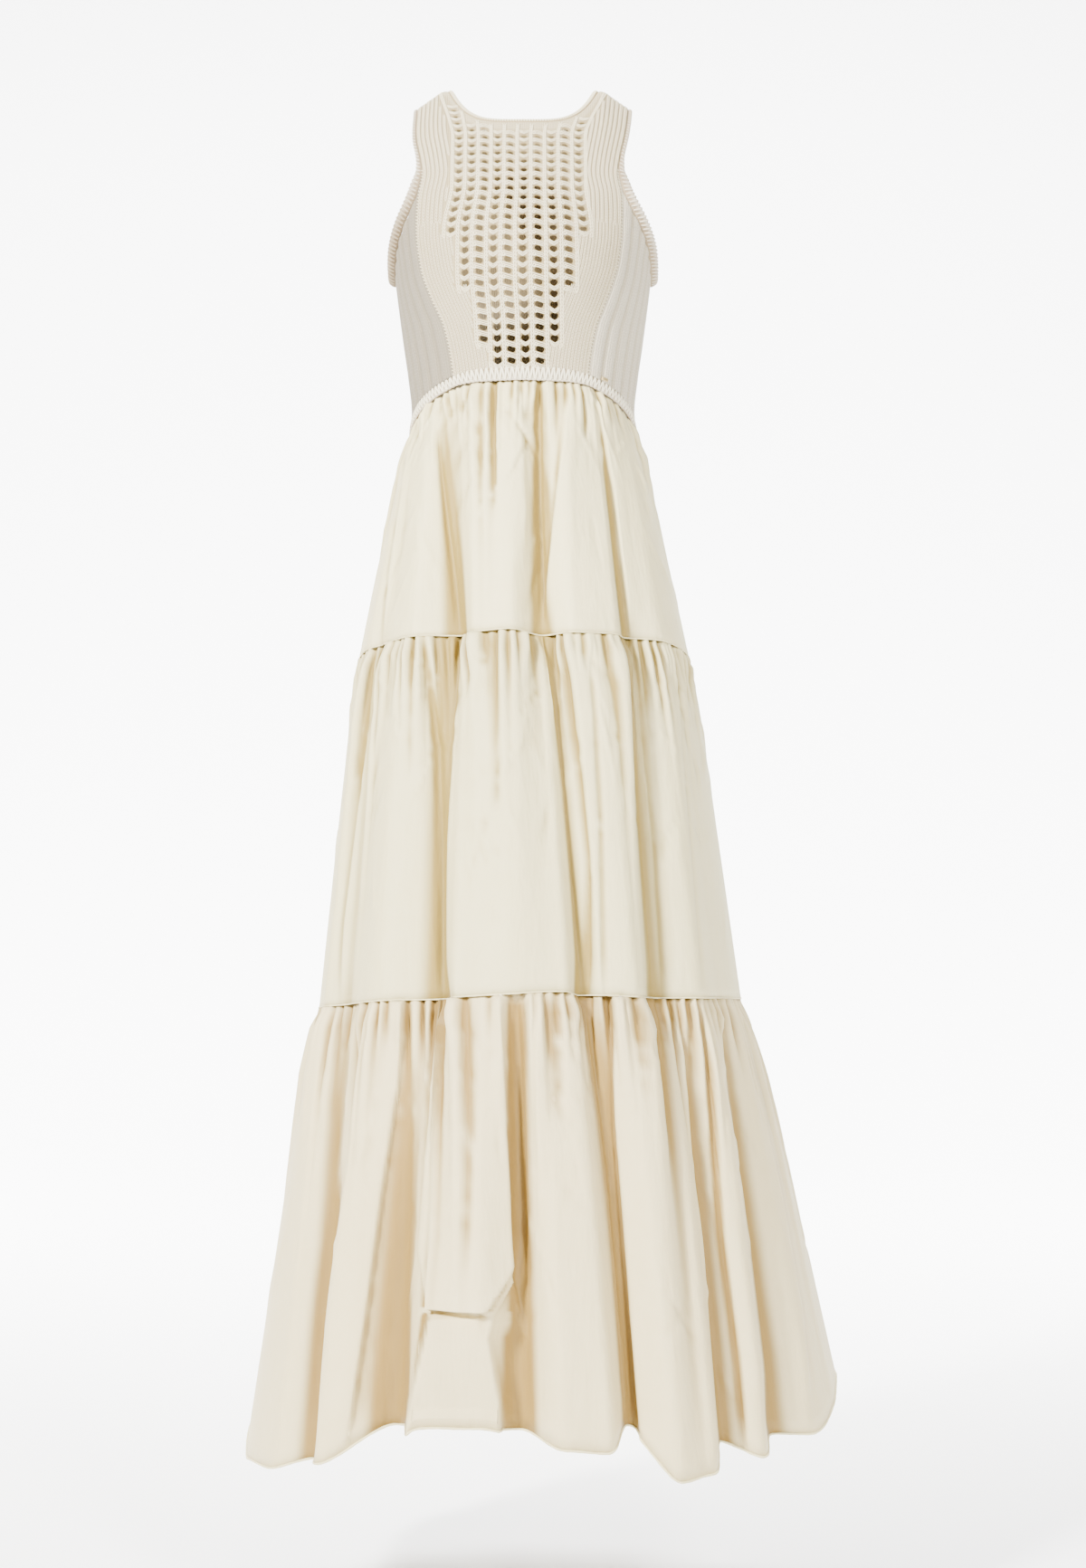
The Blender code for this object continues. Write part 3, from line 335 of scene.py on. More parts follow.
def open_ladder(line, down):
    """Moves the grid's points in and round the holes onto their outlines."""
    column = np.clip(np.floor(line + 5).astype(int) + 1, 1, HOLE_COLUMNS)
    course = np.clip((down / COURSE_PITCH).astype(int), 0, COURSES)
    own_line, middle = column - MIDDLE_COLUMN, (course + 0.5) * COURSE_PITCH
    z = torso.z(middle)
    pitch = lattice_pitch(-z)
    held = hole_table[column, course] & (np.abs(line) <= np.maximum(5.0, lattice_reach(z)))
    across, up = (line - own_line) * pitch, middle - down
    oblong = np.isin(column, OBLONG_COLUMNS)
    lean = np.where(oblong, math.radians(-20.0), 0.0)
    turned_across = across * np.cos(lean) + up * np.sin(lean)
    turned_up = up * np.cos(lean) - across * np.sin(lean)
    x = turned_across / (0.5 * hole_width(-z) * np.where(oblong, 1.04, 1.0))
    y = turned_up / (0.5 * hole_height(-z) * np.where(oblong, 0.80, 1.04))
    theta = np.degrees(np.arctan2(y, x))
    heart = (1.0 - 0.24 * dip(theta, 90, 24) + 0.16 * dip(theta, -90, 26)
             - 0.10 * dip(theta, -42, 22) - 0.10 * dip(theta, -138, 22))
    square = sum(np.abs(wave(np.radians(theta))) ** 2.8 for wave in (np.cos, np.sin)) ** (-1 / 2.8)
    rho = np.where(held, np.hypot(x, y) / np.where(oblong, square, heart), 9.0)
    inside = rho < 1.0
    push = np.where(inside & (rho > 1e-6), 1.0 / np.maximum(rho, 1e-6), 1.0)
    line = np.where(inside, own_line + across * push / pitch, line)
    return line, np.where(inside, middle - up * push, down), (rho - 1.0) / 0.42, inside


class Wire:
    """A shader socket; adding, multiplying and the like make the node for it."""

    def __init__(self, look, socket):
        self.look, self.socket = look, socket

    def math(self, operation, *others):
        return self.look.node("ShaderNodeMath", {"operation": operation}, dict(enumerate((self, *others))))

    def __add__(self, other):
        return self.math("ADD", other)

    def __sub__(self, other):
        return self.math("SUBTRACT", other)

    def __rsub__(self, other):
        return self.look.node("ShaderNodeMath", {"operation": "SUBTRACT"}, {0: other, 1: self})

    def __mul__(self, other):
        return self.math("MULTIPLY", other)

    def __pow__(self, other):
        return self.math("POWER", other)

    __radd__, __rmul__ = __add__, __mul__

    def wave(self):
        """Sine of whole turns."""
        return (self * (2 * math.pi)).math("SINE")

    def clamp(self):
        return self.look.node("ShaderNodeClamp", {}, {"Value": self})


class Look:
    """One material, with the nodes that feed its shader."""

    def __init__(self, name, constants):
        self.material = bpy.data.materials.new(name)
        self.material.use_nodes = True
        self.tree = self.material.node_tree
        self.feed(constants)

    def feed(self, values):
        for name, value in values.items():
            self.plug(self.tree.nodes["Principled BSDF"].inputs[name], value)

    def plug(self, socket, value):
        if isinstance(value, Wire):
            self.tree.links.new(value.socket, socket)
        else:
            socket.default_value = (*value, 1.0) if socket.type == "RGBA" else value

    def node(self, kind, settings, values, output=0):
        node = self.tree.nodes.new(kind)
        for name, value in settings.items():
            setattr(node, name, value)
        for name, value in values.items():
            self.plug(node.inputs[name], value)
        return Wire(self, node.outputs[output])

    def place(self):
        return self.node("ShaderNodeTexCoord", {}, {}, "Object")

    def layer(self, name):
        """Both values of a texture layer."""
        pair = self.node("ShaderNodeUVMap", {"uv_map": name}, {})
        first = self.node("ShaderNodeSeparateXYZ", {}, {"Vector": pair}, "X")
        return first, Wire(self, first.socket.node.outputs["Y"])

    def noise(self, scale, detail=2.0, roughness=0.5, vector=None):
        values = {"Vector": vector or self.place(), "Scale": scale, "Detail": detail, "Roughness": roughness}
        return self.node("ShaderNodeTexNoise", {}, values)

    def mix(self, share, low, high):
        return self.node("ShaderNodeMix", {"data_type": "RGBA"}, {"Factor": share, 6: low, 7: high}, 2)

    def bump(self, height, distance):
        return self.node("ShaderNodeBump", {}, {"Height": height, "Distance": distance})


def knit_look(name, light, deep, shaded, depth=0.0008):
    """Cotton knit: columns of V stitches, each leg a soft ply of fibres; painted shade where the legs sink,
    and a darker painted shade by each point's shade share.
    """
    look = Look(name, {
        "Roughness": 0.92, "Sheen Weight": 0.08, "Sheen Roughness": 0.6, "Specular IOR Level": 0.2})
    wale, course = look.layer("stitches")
    wobble = (look.noise(260.0, 1.0) - 0.5) * 0.22
    off = ((wale + wobble).math("FRACT") - 0.5).math("ABSOLUTE")
    row = (course + off * 1.3).wave() * 0.5 + 0.5
    height = (off.wave().clamp() ** 0.6) * (row * 0.45 + 0.55)
    fibres = look.noise(2600.0, 2.0, 0.7)
    # Painted shade: the deep colour where the stitch legs sink, mixed with random fibre tone; the shaded
    # colour where shade is given for the point.
    tone = (height * 0.85 + fibres * 0.25).clamp()
    look.feed({
        "Base Color": look.mix(look.layer("painted_shade")[0].clamp(), look.mix(tone, deep, light), shaded),
        "Normal": look.bump(height * 0.8 + fibres * 0.25, depth)})
    return look.material


front_knit_yarn = knit_look(
    "cream cotton knit", (0.70, 0.61, 0.40), (0.38, 0.29, 0.14), (0.33, 0.245, 0.11), 0.0007)
LADDER_SHARES, FLANK_SHARES, COURSE_SHARES = 12, 7, 8
flank_lines = np.linspace(5, LAST_LINE, 3 * FLANK_SHARES + 1)[1:]
ladder_lines = np.linspace(-5, 5, 10 * LADDER_SHARES + 1)
front_lines = np.concatenate([-flank_lines[::-1], ladder_lines, flank_lines])


def front_top(lines):
    """Distance down to the neckline, or 0 where a line runs up to the shoulder."""
    found = falls_below(lambda down: torso.z(down) - neck_z(front_angle(lines, down), FRONT_NECK_DEPTH),
                        np.zeros(len(lines)), np.full(len(lines), 0.12))
    return np.where(np.abs(front_angle(lines, np.zeros(len(lines)))) < NECK_HALF_ANGLE, found, 0.0)


def front_groove_shade(line, down):
    """Painted shade on the ground between the bars and flank stitches, but not along the neckline."""
    below_neck = neck_z(front_angle(line, down), FRONT_NECK_DEPTH) - torso.z(down)
    return 0.08 + 0.42 * ease((below_neck - 0.006) / 0.006)


front_knit = add_piece("front_knit", knit_shell(
    front_angle, front_lines, np.arange(0.0, torso.length, COURSE_PITCH / COURSE_SHARES),
    front_top(front_lines), knit_bottom(lambda down: front_angle(front_lines, down), len(front_lines)),
    lambda line, down: front_line_x(line, down) / 0.0040, front_groove_shade, holes=open_ladder), front_knit_yarn)
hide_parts("bodice_front")


# Stitches of the front panel
# The yarn itself, a smooth two-ply cotton: columns of V stitches in the bars and flanks, and the
# strands that cross the ladder between its holes. All of it is worked in one with the panel.
YARN_RADIUS = 0.00088
PLY_LENGTH = 0.0016
BAR_STITCH, BAR_WIDTH = 0.00365, 0.0052
FLANK_CHANGE_Z = -0.156
LOWEST_DOWN = 0.46


def tubes(path, up, radius, sides=5, closed=False):
    """Strands of yarn: path and up are (strand, point, 3) and radius (strand, point) arrays."""
    strands, count = path.shape[:2]
    if closed:
        along = unit(np.roll(path, -1, axis=1) - np.roll(path, 1, axis=1))
    else:
        along = unit(np.gradient(path, axis=1))
    side = unit(np.cross(up, along))
    out = np.cross(along, side)
    turn = np.linspace(0, 2 * math.pi, sides, endpoint=False)
    ring = side[:, :, None] * np.cos(turn)[:, None] + out[:, :, None] * np.sin(turn)[:, None]
    points = path[:, :, None] + ring * np.broadcast_to(radius, path.shape[:2])[:, :, None, None]
    index = np.arange(strands * count * sides).reshape(strands, count, sides)
    here, there = (index, np.roll(index, -1, axis=1)) if closed else (index[:, :-1], index[:, 1:])
    length = np.concatenate([np.zeros((strands, 1)), np.linalg.norm(np.diff(path, axis=1), axis=2)], axis=1)
    length = np.cumsum(length, axis=1)[:, :, None] / PLY_LENGTH
    return points.reshape(-1, 3), hoops(here, there), pairs(turn / (2 * math.pi), length)


def gather_up(parts):
    """Several lots of points, triangles and texture values as one."""
    starts = np.cumsum([0] + [len(part[0]) for part in parts[:-1]])
    triangles = np.concatenate([part[1] + start for part, start in zip(parts, starts)])
    return np.concatenate([part[0] for part in parts]), triangles, np.concatenate([part[2] for part in parts])


def yarn_look(name, light, deep, low=None):
    """Two-ply cotton yarn: a slow twist and loose fibres, with painted shade down its flanks and, where a low
    pair is given, painted shade lower down.
    """
    look = Look(name, {
        "Roughness": 0.9, "Sheen Weight": 0.08, "Sheen Roughness": 0.5, "Specular IOR Level": 0.25})
    turn, length = look.layer("stitches")
    ply = (turn * 2.0 + length * 0.9).wave() * 0.5 + 0.5
    fibres = look.noise(2600.0, 2.0, 0.7)
    # Painted shade: the crown of the yarn takes the light colour, its flanks the deep one, mixed with the
    # twist and random fibre tone.
    tone = ((turn.wave().clamp() ** 1.3) * 0.85 + ply * 0.15 + fibres * 0.3 - 0.15).clamp()
    colour = look.mix(tone, deep, light)
    # Painted shade lower down: with a low pair the colour turns to it between about 9 and 16 cm below the
    # shoulders.
    if low is not None:
        height = look.node("ShaderNodeSeparateXYZ", {}, {"Vector": look.place()}, "Z")
        colour = look.mix((height * -14.0 - 1.3).clamp(), colour, look.mix(tone, *low))
    look.feed({"Base Color": colour, "Normal": look.bump(ply * 0.6 + fibres * 0.4, 0.00025)})
    return look.material


def on_front(x, down, lift):
    """Points on the front panel, raised from it by lift, and the way out of it there."""
    angle = front_angle_at_x(x, down)
    normal = torso.normal(angle, down)
    return torso.point(angle, down) + normal * np.broadcast_to(lift, down.shape)[..., None], normal


def v_stitches(x_at, top_down, width, height, radius):
    """Both legs of V stitches in a column: x_at gives its middle, top_down where each stitch starts."""
    t = np.linspace(0.0, 1.0, 5)
    down = top_down[:, None] + height * 1.42 * t
    lean = (0.34 - 0.27 * ease(t)) * width
    lift = radius * (1.5 * np.sin(math.pi * (0.12 + 0.76 * t)) - 0.75)
    thick = radius * (0.55 + 0.45 * np.sin(math.pi * (0.1 + 0.8 * t)))
    return [tubes(*on_front(x_at(down) + side * lean, down, lift), thick, sides=4) for side in (-1, 1)]


def inside_front(x, down):
    """Whether points lie on the front panel, clear of its ends."""
    angle = front_angle_at_x(x, down)
    neck = np.where(np.abs(angle) < NECK_HALF_ANGLE, neck_z(angle, FRONT_NECK_DEPTH), 0.0)
    return (torso.z(down) < neck - 0.001) & (torso.z(down) > waist_top(angle) + 0.0004)


bar_parts = []
starts = np.arange(0.001, LOWEST_DOWN, BAR_STITCH)
for bar in range(-5, 6):
    lowest = min(row.z for row in LATTICE_REACH if row.columns >= abs(bar))
    keep = inside_front(front_line_x(bar, starts), starts) & (torso.z(starts) > lowest - 0.004)
    bar_parts += v_stitches(
        lambda down: front_line_x(bar, down), starts[keep], BAR_WIDTH, BAR_STITCH, YARN_RADIUS)


def ladder_strand(column, course, across, up, lift, thickness):
    """Strands at the upper rims of a column's holes: across in pitches, up in metres, the rest in yarns."""
    down = course[:, None] * COURSE_PITCH - up
    x = front_line_x(np.broadcast_to(column - MIDDLE_COLUMN + across, down.shape), down)
    return tubes(*on_front(x, down, YARN_RADIUS * lift), YARN_RADIUS * thickness)


t = np.linspace(-1.0, 1.0, 9)
loop = np.linspace(0, 2 * math.pi, 11)
for column in range(1, HOLE_COLUMNS + 1):
    rows = np.flatnonzero(hole_table[column])
    rows = np.concatenate([rows, rows[-1:] + 1])
    if column in OBLONG_COLUMNS:
        for shift, rise in ((0.0016, 1.0), (-0.0004, 1.0), (-0.0022, 0.9)):
            lift = 0.9 * np.cos(t * math.pi / 2) - 0.1 + 0.25 * np.cos(3 * t)
            bar_parts.append(ladder_strand(column, rows, 0.40 * t, -0.0019 * rise * t + shift, lift, 0.66))
        bar_parts.append(ladder_strand(column, rows, -0.27 + 0.085 * np.cos(loop),
                                       0.0018 * np.sin(loop) - 0.0005, 0.7, 0.75))
    else:
        for shift, reach in ((0.0026, 0.36), (0.0010, 0.34), (-0.0006, 0.30)):
            up = 0.0030 * np.abs(t) ** 1.15 - 0.0017 + shift
            bar_parts.append(ladder_strand(column, rows, reach * t, up, np.cos(t * math.pi / 2) - 0.1, 0.68))
cream_yarn = yarn_look("cream cotton yarn", (0.91, 0.83, 0.59), (0.36, 0.27, 0.125))
ladder_yarn = add_piece("ladder_yarn", gather_up(bar_parts), cream_yarn)

flank_parts = []
for side in (-1, 1):
    for upper, wale_pitch, stitch in ((True, 0.00455, 0.0034), (False, 0.0034, 0.0028)):
        for wale in range(13):
            def x_at(down):
                return front_line_x(side * LAST_LINE, down) - side * (wale + 0.62) * wale_pitch
            starts = np.arange(0.0012, LOWEST_DOWN, stitch) + 0.4 * stitch * (wale % 2)
            z, x = torso.z(starts), x_at(starts)
            columns = np.select([z > -0.170, z > -0.226, z > -0.285, z > -0.304], [5, 4, 3, 2], 0)
            border = side * (columns + 0.16) * lattice_pitch(-z) + lattice_centre(-z)
            keep = inside_front(x, starts) & (side * (x - border) > 0) & ((z > FLANK_CHANGE_Z) == upper)
            if keep.any():
                flank_parts += v_stitches(x_at, starts[keep], wale_pitch, stitch, wale_pitch * 0.19)
flank_yarn = add_piece("flank_yarn", gather_up(flank_parts),
                       yarn_look("cream cotton yarn of the flanks", (0.80, 0.71, 0.49), (0.27, 0.195, 0.09)))


# Side panels
# Wide-rib cotton knit from each princess seam round to the side seam, a little cooler in tone than
# the front. The princess seams are linked by hand, which leaves a fine row of dots.
SIDE_SEAM_ANGLE, SIDE_RIBS, RIB_RELIEF = 95.0, 7, 0.0015
ARMHOLE_JOIN_Z, UNDERARM_Z = -0.100, -0.2095
ARMHOLE_FRONT = table(
    "angle z", (41.7, ARMHOLE_JOIN_Z), (45.0, -0.122), (50.0, -0.137), (58.0, -0.153), (65.0, -0.166),
    (73.0, -0.180), (82.0, -0.197), (90.0, -0.2080), (SIDE_SEAM_ANGLE, UNDERARM_Z))
RIB_LIGHT, RIB_STITCH_SHADE = (0.60, 0.545, 0.425), (0.38, 0.32, 0.21)
armhole_front_z = curve(ARMHOLE_FRONT, "angle", "z")
armhole_join, underarm = float(torso.down_to(ARMHOLE_JOIN_Z)), float(torso.down_to(UNDERARM_Z))
# The panel on the wearer's right is a darker copy of the rib knit: painted shade.
rib_looks = {1: knit_look("cream rib knit", RIB_LIGHT, RIB_STITCH_SHADE, (0.32, 0.25, 0.14)),
             -1: knit_look("cream rib knit in painted shade", (0.29, 0.255, 0.19), (0.20, 0.165, 0.105),
                           (0.20, 0.16, 0.10))}


def side_angle(side, line, down):
    """Angle of a line of a side panel: 0 at the princess seam, 14 at the side seam."""
    princess = front_angle(side * LAST_LINE, down)
    return princess + (side * SIDE_SEAM_ANGLE - princess) * line / (2 * SIDE_RIBS)


def side_top(side, lines):
    """Distance down each line to the armhole."""
    skew = abs(float(front_angle(side * LAST_LINE, armhole_join))) - ARMHOLE_FRONT[0].angle

    def below(down):
        angle = np.abs(side_angle(side, lines, down))
        share = (SIDE_SEAM_ANGLE - angle) / (SIDE_SEAM_ANGLE - ARMHOLE_FRONT[0].angle)
        return torso.z(down) - armhole_front_z(angle - skew * share)
    found = falls_below(below, np.full(len(lines), armhole_join), np.full(len(lines), underarm + 0.01))
    return np.where(lines <= 0.0, armhole_join, found)


def rib_relief(line, down):
    """Broad soft ribs with narrow grooves at the even lines, which run out at the shoulder."""
    return RIB_RELIEF * (1.0 - np.abs(np.cos(math.pi * line / 2)) ** 5) * ease(torso.z(down) / -0.02)


def rib_groove_shade(line, down):
    """Painted shade in the rib grooves: how deep in a groove a line lies, from 0 to 1."""
    return 0.55 * np.abs(np.cos(math.pi * line / 2)) ** 8


def rib_wales(line, down):
    return line * 1.5


side_lines = np.linspace(0, 2 * SIDE_RIBS, 14 * 7 + 1)
for side, word in ((1, "left"), (-1, "right")):
    knit = add_piece("side_knit_" + word, knit_shell(
        lambda line, down: side_angle(side, line, down), side_lines,
        np.arange(armhole_join, torso.length, 0.0026), side_top(side, side_lines),
        knit_bottom(lambda down: side_angle(side, side_lines, down), len(side_lines)),
        rib_wales, rib_groove_shade, rib_relief, turned=side < 0), rib_looks[side])
    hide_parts("bodice_side_" + word)

seam_parts = []
starts = np.arange(armhole_join, 0.42, 0.0036)
t = np.linspace(-1.0, 1.0, 5)
down = starts[:, None] + 0.0006 * t
for side in (-1, 1):
    x = front_line_x(side * LAST_LINE, down) + 0.0013 * t
    keep = (torso.z(down) > waist_top(front_angle_at_x(x, down))).all(axis=1)
    path, normal = on_front(x[keep], down[keep], 0.0003 - 0.0005 * t * t)
    seam_parts.append(tubes(path, normal, 0.00055 * (1.2 - t * t * 0.7)))
princess_stitches = add_piece("princess_stitches", gather_up(seam_parts), cream_yarn)
for side in (-1, 1):
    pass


# Back
# The same rib knit, cut in one from side seam to side seam, with a shallower neckline and straps
# that lean in. The photo does not show it.
STRAP_EDGE_ANGLE, BACK_NECK_DEPTH, BACK_LINES = 44.5, 0.0350, 32
ARMHOLE_BACK = table(
    "angle z", (STRAP_EDGE_ANGLE, 0.000), (45.2, -0.060), (46.5, -0.090), (50.0, -0.118), (57.0, -0.146),
    (66.0, -0.170), (76.0, -0.195), (180.0 - SIDE_SEAM_ANGLE, UNDERARM_Z))
BACK_LEAN = table(
    "z share", (0.000, 1.000), (-0.035, 0.945), (-0.070, 0.895), (-0.100, 0.905), (-0.130, 0.950),
    (-0.165, 1.000), (-0.420, 1.000))
BACK_STEP = (180.0 - SIDE_SEAM_ANGLE) / BACK_LINES
armhole_back_angle = curve(ARMHOLE_BACK, "z", "angle")
back_lean = curve(BACK_LEAN, "z", "share")


def back_angle(angle, down):
    """Angle from the front of a point on a line of the back, given its own angle from the middle."""
    return 180.0 - angle * back_lean(-torso.z(down))


def back_top(lines):
    own = np.abs(lines) * BACK_STEP
    neck = torso.down_to(neck_z(own, BACK_NECK_DEPTH))
    arm = falls_below(lambda down: own - armhole_back_angle(-torso.z(down)), np.zeros(len(lines)),
                      np.full(len(lines), underarm))
    return np.where(own < NECK_HALF_ANGLE, neck, np.where(own < STRAP_EDGE_ANGLE, 0.0, arm))


back_lines = np.linspace(-BACK_LINES, BACK_LINES, BACK_LINES * 2 * 4 + 1)
# The back's shaded colour is darker still: painted shade on its inner face, seen through the front's holes.
back_knit = add_piece("back_knit", knit_shell(
    lambda line, down: back_angle(line * BACK_STEP, down), back_lines, np.arange(0.0, torso.length, 0.0045),
    back_top(back_lines), knit_bottom(lambda down: back_angle(back_lines * BACK_STEP, down), len(back_lines)),
    rib_wales, rib_groove_shade, rib_relief),
    knit_look("cream rib knit of the back", RIB_LIGHT, RIB_STITCH_SHADE, (0.21, 0.155, 0.075)))
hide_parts("bodice_back")


# Neck edge
# A narrow knitted edge linked to the neckline all round, whipped over with the body's yarn.
SEAM_GAP = 0.0003
EDGE_STEP = 0.0013
NECK_EDGE_WIDTH, NECK_EDGE_THICKNESS = 0.0050, 0.0034


def smoothed(values):
    """A closed run of points with each drawn towards its neighbours."""
    return (np.roll(values, 1, axis=0) + 2 * values + np.roll(values, -1, axis=0)) / 4


def knit_edge(angle, down, backwards):
    """The middle of the knit's wall along a closed edge and its normals, at even steps."""
    normals = torso.normal(angle, down)
    points = torso.point(angle, down) - normals * KNIT_THICKNESS / 2
    if backwards:
        points, normals = points[::-1], normals[::-1]
    points, normals = np.concatenate([points, points[:1]]), np.concatenate([normals, normals[:1]])
    length = run_of(points)
    at = np.linspace(0.0, length[-1], int(round(length[-1] / EDGE_STEP)), endpoint=False)
    path, normal = [np.stack([np.interp(at, length, values[:, k]) for k in range(3)], -1)
                    for values in (points, normals)]
    for _ in range(3):
        path, normal = smoothed(path), unit(smoothed(normal))
    return path, normal


def band_frame(path, normal, flare):
    """Directions across and through a band sewn round a closed edge; across points away from the knit."""
    along = unit(np.roll(path, -1, axis=0) - np.roll(path, 1, axis=0))
    normal = unit(normal - along * (normal * along).sum(-1, keepdims=True))
    away = np.cross(along, normal)
    lean, rise = np.cos(flare)[:, None], np.sin(flare)[:, None]
    return away * lean + normal * rise, normal * lean - away * rise


def rounded(turn, squareness):
    """Corners of a rounded square outline, from -1 to 1 both ways."""
    return [np.sign(wave(turn)) * np.abs(wave(turn)) ** squareness for wave in (np.cos, np.sin)]


def band(path, normal, width, thickness, flare, squareness=0.7):
    """A rounded band round a closed edge, with its centre line and directions."""
    across, thick = band_frame(path, normal, flare)
    centre = path + across * (SEAM_GAP + KNIT_THICKNESS / 2 * np.sin(flare) + width / 2)[:, None]
    turn = np.linspace(0, 2 * math.pi, 12, endpoint=False)
    a, b = rounded(turn, squareness)
    points = (centre[:, None] + across[:, None] * (a * width[:, None] / 2)[..., None]
              + thick[:, None] * (b * thickness / 2)[None, :, None])
    index = np.arange(len(path) * len(turn)).reshape(-1, len(turn))
    core = (points.reshape(-1, 3), hoops(index, np.roll(index, -1, axis=0)),
            pairs(turn / math.pi, np.arange(len(path))[:, None] * 0.5))
    return core, centre, across, thick


def overcast(path, normal, width, thickness, flare, step, slant, radius):
    """A band with strands that each wrap its outer side from one face to the other."""
    core, centre, across, thick = band(path, normal, width, thickness, flare)
    count = len(centre)
    t = np.linspace(-1.0, 1.0, 9)
    at = (np.arange(0, count, step)[:, None] + slant * t) % count
    low = np.floor(at).astype(int) % count
    part = (at - np.floor(at))[..., None]

    def between(values):
        return values[low] * (1 - part) + values[(low + 1) % count] * part
    turn = t * 0.92 * math.pi / 1.35
    out, over = np.cos(turn)[:, None], np.sin(turn)[:, None]
    wide = between(width[:, None]) * 0.5
    strand = between(centre) + between(across) * out * wide * 1.02 + between(thick) * over * thickness * 0.5
    up = between(across) * out / np.maximum(wide, 1e-6) + between(thick) * over / (thickness * 0.5)
    return gather_up([core, tubes(strand, unit(up), radius * (1.05 - 0.45 * t ** 4))])


neck_front = np.linspace(-NECK_HALF_ANGLE, NECK_HALF_ANGLE, 240)
neck_back = neck_front[::-1][1:-1]
front_down = torso.down_to(neck_z(neck_front, FRONT_NECK_DEPTH))
back_down = torso.down_to(neck_z(neck_back, BACK_NECK_DEPTH))
path, normal = knit_edge(np.concatenate([neck_front, back_angle(neck_back, back_down)]),
                         np.concatenate([front_down, back_down]), True)
neck_width = np.full(len(path), NECK_EDGE_WIDTH * 0.86)
neck_edging = add_piece("neck_edging", overcast(
    path, normal, neck_width, NECK_EDGE_THICKNESS * 0.8, np.zeros(len(path)), 2.2, 1.2, 0.00130), cream_yarn)
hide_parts("neck_edge")


# Armhole edges
# A chunky edge of the same cotton round each armhole, overcast by hand with slanting stitches. It is
# narrow along the strap and turns out from the body towards the underarm.
ARMHOLE_EDGE_WIDTH, STRAP_EDGE_WIDTH, ARMHOLE_EDGE_THICKNESS = 0.0110, 0.0040, 0.0044
ARMHOLE_EDGE_FLARE = math.radians(52.0)
EDGING_LIGHT, EDGING_FLANK_SHADE = (0.64, 0.565, 0.44), (0.30, 0.225, 0.13)
# The edging round the wearer's right armhole is a darker copy with painted shade, darker still lower down.
edging_looks = {1: yarn_look("overcast cotton yarn", EDGING_LIGHT, EDGING_FLANK_SHADE),
                -1: yarn_look("overcast cotton yarn in painted shade", EDGING_LIGHT, EDGING_FLANK_SHADE,
                              low=((0.15, 0.105, 0.055), (0.40, 0.325, 0.215)))}
for side, word in ((1, "left"), (-1, "right")):
    strap_down = np.linspace(0.0, armhole_join, 90)
    line = np.linspace(0.0, 2 * SIDE_RIBS, 140)[1:]
    under_down = side_top(side, line)
    rear_down = np.linspace(underarm, 0.0, 160)[1:-1]
    angle = np.concatenate([front_angle(side * LAST_LINE, strap_down), side_angle(side, line, under_down),
                            back_angle(side * armhole_back_angle(-torso.z(rear_down)), rear_down)])
    path, normal = knit_edge(angle, np.concatenate([strap_down, under_down, rear_down]), side > 0)
    width = STRAP_EDGE_WIDTH + (ARMHOLE_EDGE_WIDTH - STRAP_EDGE_WIDTH) * ease((-path[:, 2] - 0.075) / 0.045)
    flare = ARMHOLE_EDGE_FLARE * ease((-path[:, 2] - 0.095) / 0.055)
    edging = add_piece("armhole_edging_" + word, overcast(
        path, normal, width * 0.90, ARMHOLE_EDGE_THICKNESS * 0.72, flare, 3.6, 2.2, 0.00150),
        edging_looks[side])
    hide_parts("armhole_edge_" + word)


# Waist edge
# The knit ends at an arched high waist in a thick overcast edge: a row of upright V stitches in
# white yarn, over a fine cord where the skirt is sewn on.
WAIST_EDGE_THICKNESS, WAIST_STITCH_PITCH = 0.0046, 0.0054
angle = np.linspace(-180.0, 180.0, 721)[:-1]
path, normal = knit_edge(angle, torso.down_to(waist_top(angle)), False)
level = np.zeros(len(path))
across, thick = band_frame(path, normal, level)
upright_height = waist_height(angle_from_front(np.degrees(np.arctan2(path[:, 0], -path[:, 1]))))
width = (upright_height - SEAM_GAP) * np.abs(across[:, 2])
core, centre, across, thick = band(path, normal, width, WAIST_EDGE_THICKNESS * 0.66, level, squareness=0.55)
stitch_steps = len(path) / round(len(path) * EDGE_STEP / WAIST_STITCH_PITCH)
starts = np.arange(0, len(path) - 0.5 * stitch_steps, stitch_steps)
t = np.linspace(-1.0, 1.0, 7)
parts = [core]
for lean in (-1, 1):
    at = (starts[:, None] + stitch_steps * (0.25 * lean * (1 + 0.75 * t))) % len(path)
    near = np.round(at).astype(int) % len(path)
    part = (at - np.round(at))[..., None]
    spot = centre[near] - across[near] * (t * 0.50 * width[near])[..., None]
    spot = spot + (centre[(near + 1) % len(path)] - centre[near]) * part
    strand = spot + thick[near] * (WAIST_EDGE_THICKNESS * (0.36 - 0.16 * t ** 4))[:, None]
    parts.append(tubes(strand, thick[near], 0.00135 * (1.1 - 0.3 * t ** 4), sides=6))
waist_edging = add_piece("waist_edging", gather_up(parts),
                         yarn_look("white overcast yarn", (0.92, 0.85, 0.64), (0.30, 0.225, 0.115)))
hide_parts("waist_edge")
cord = centre + across * (0.5 * width)[:, None] + thick * 0.0004
beads = 0.0015 * (1.0 + 0.3 * np.sin(np.arange(len(path)) * math.pi / 2))
waist_cord = add_piece("waist_cord", tubes(cord[None], thick[None], beads[None], sides=8, closed=True),
                       edging_looks[1])


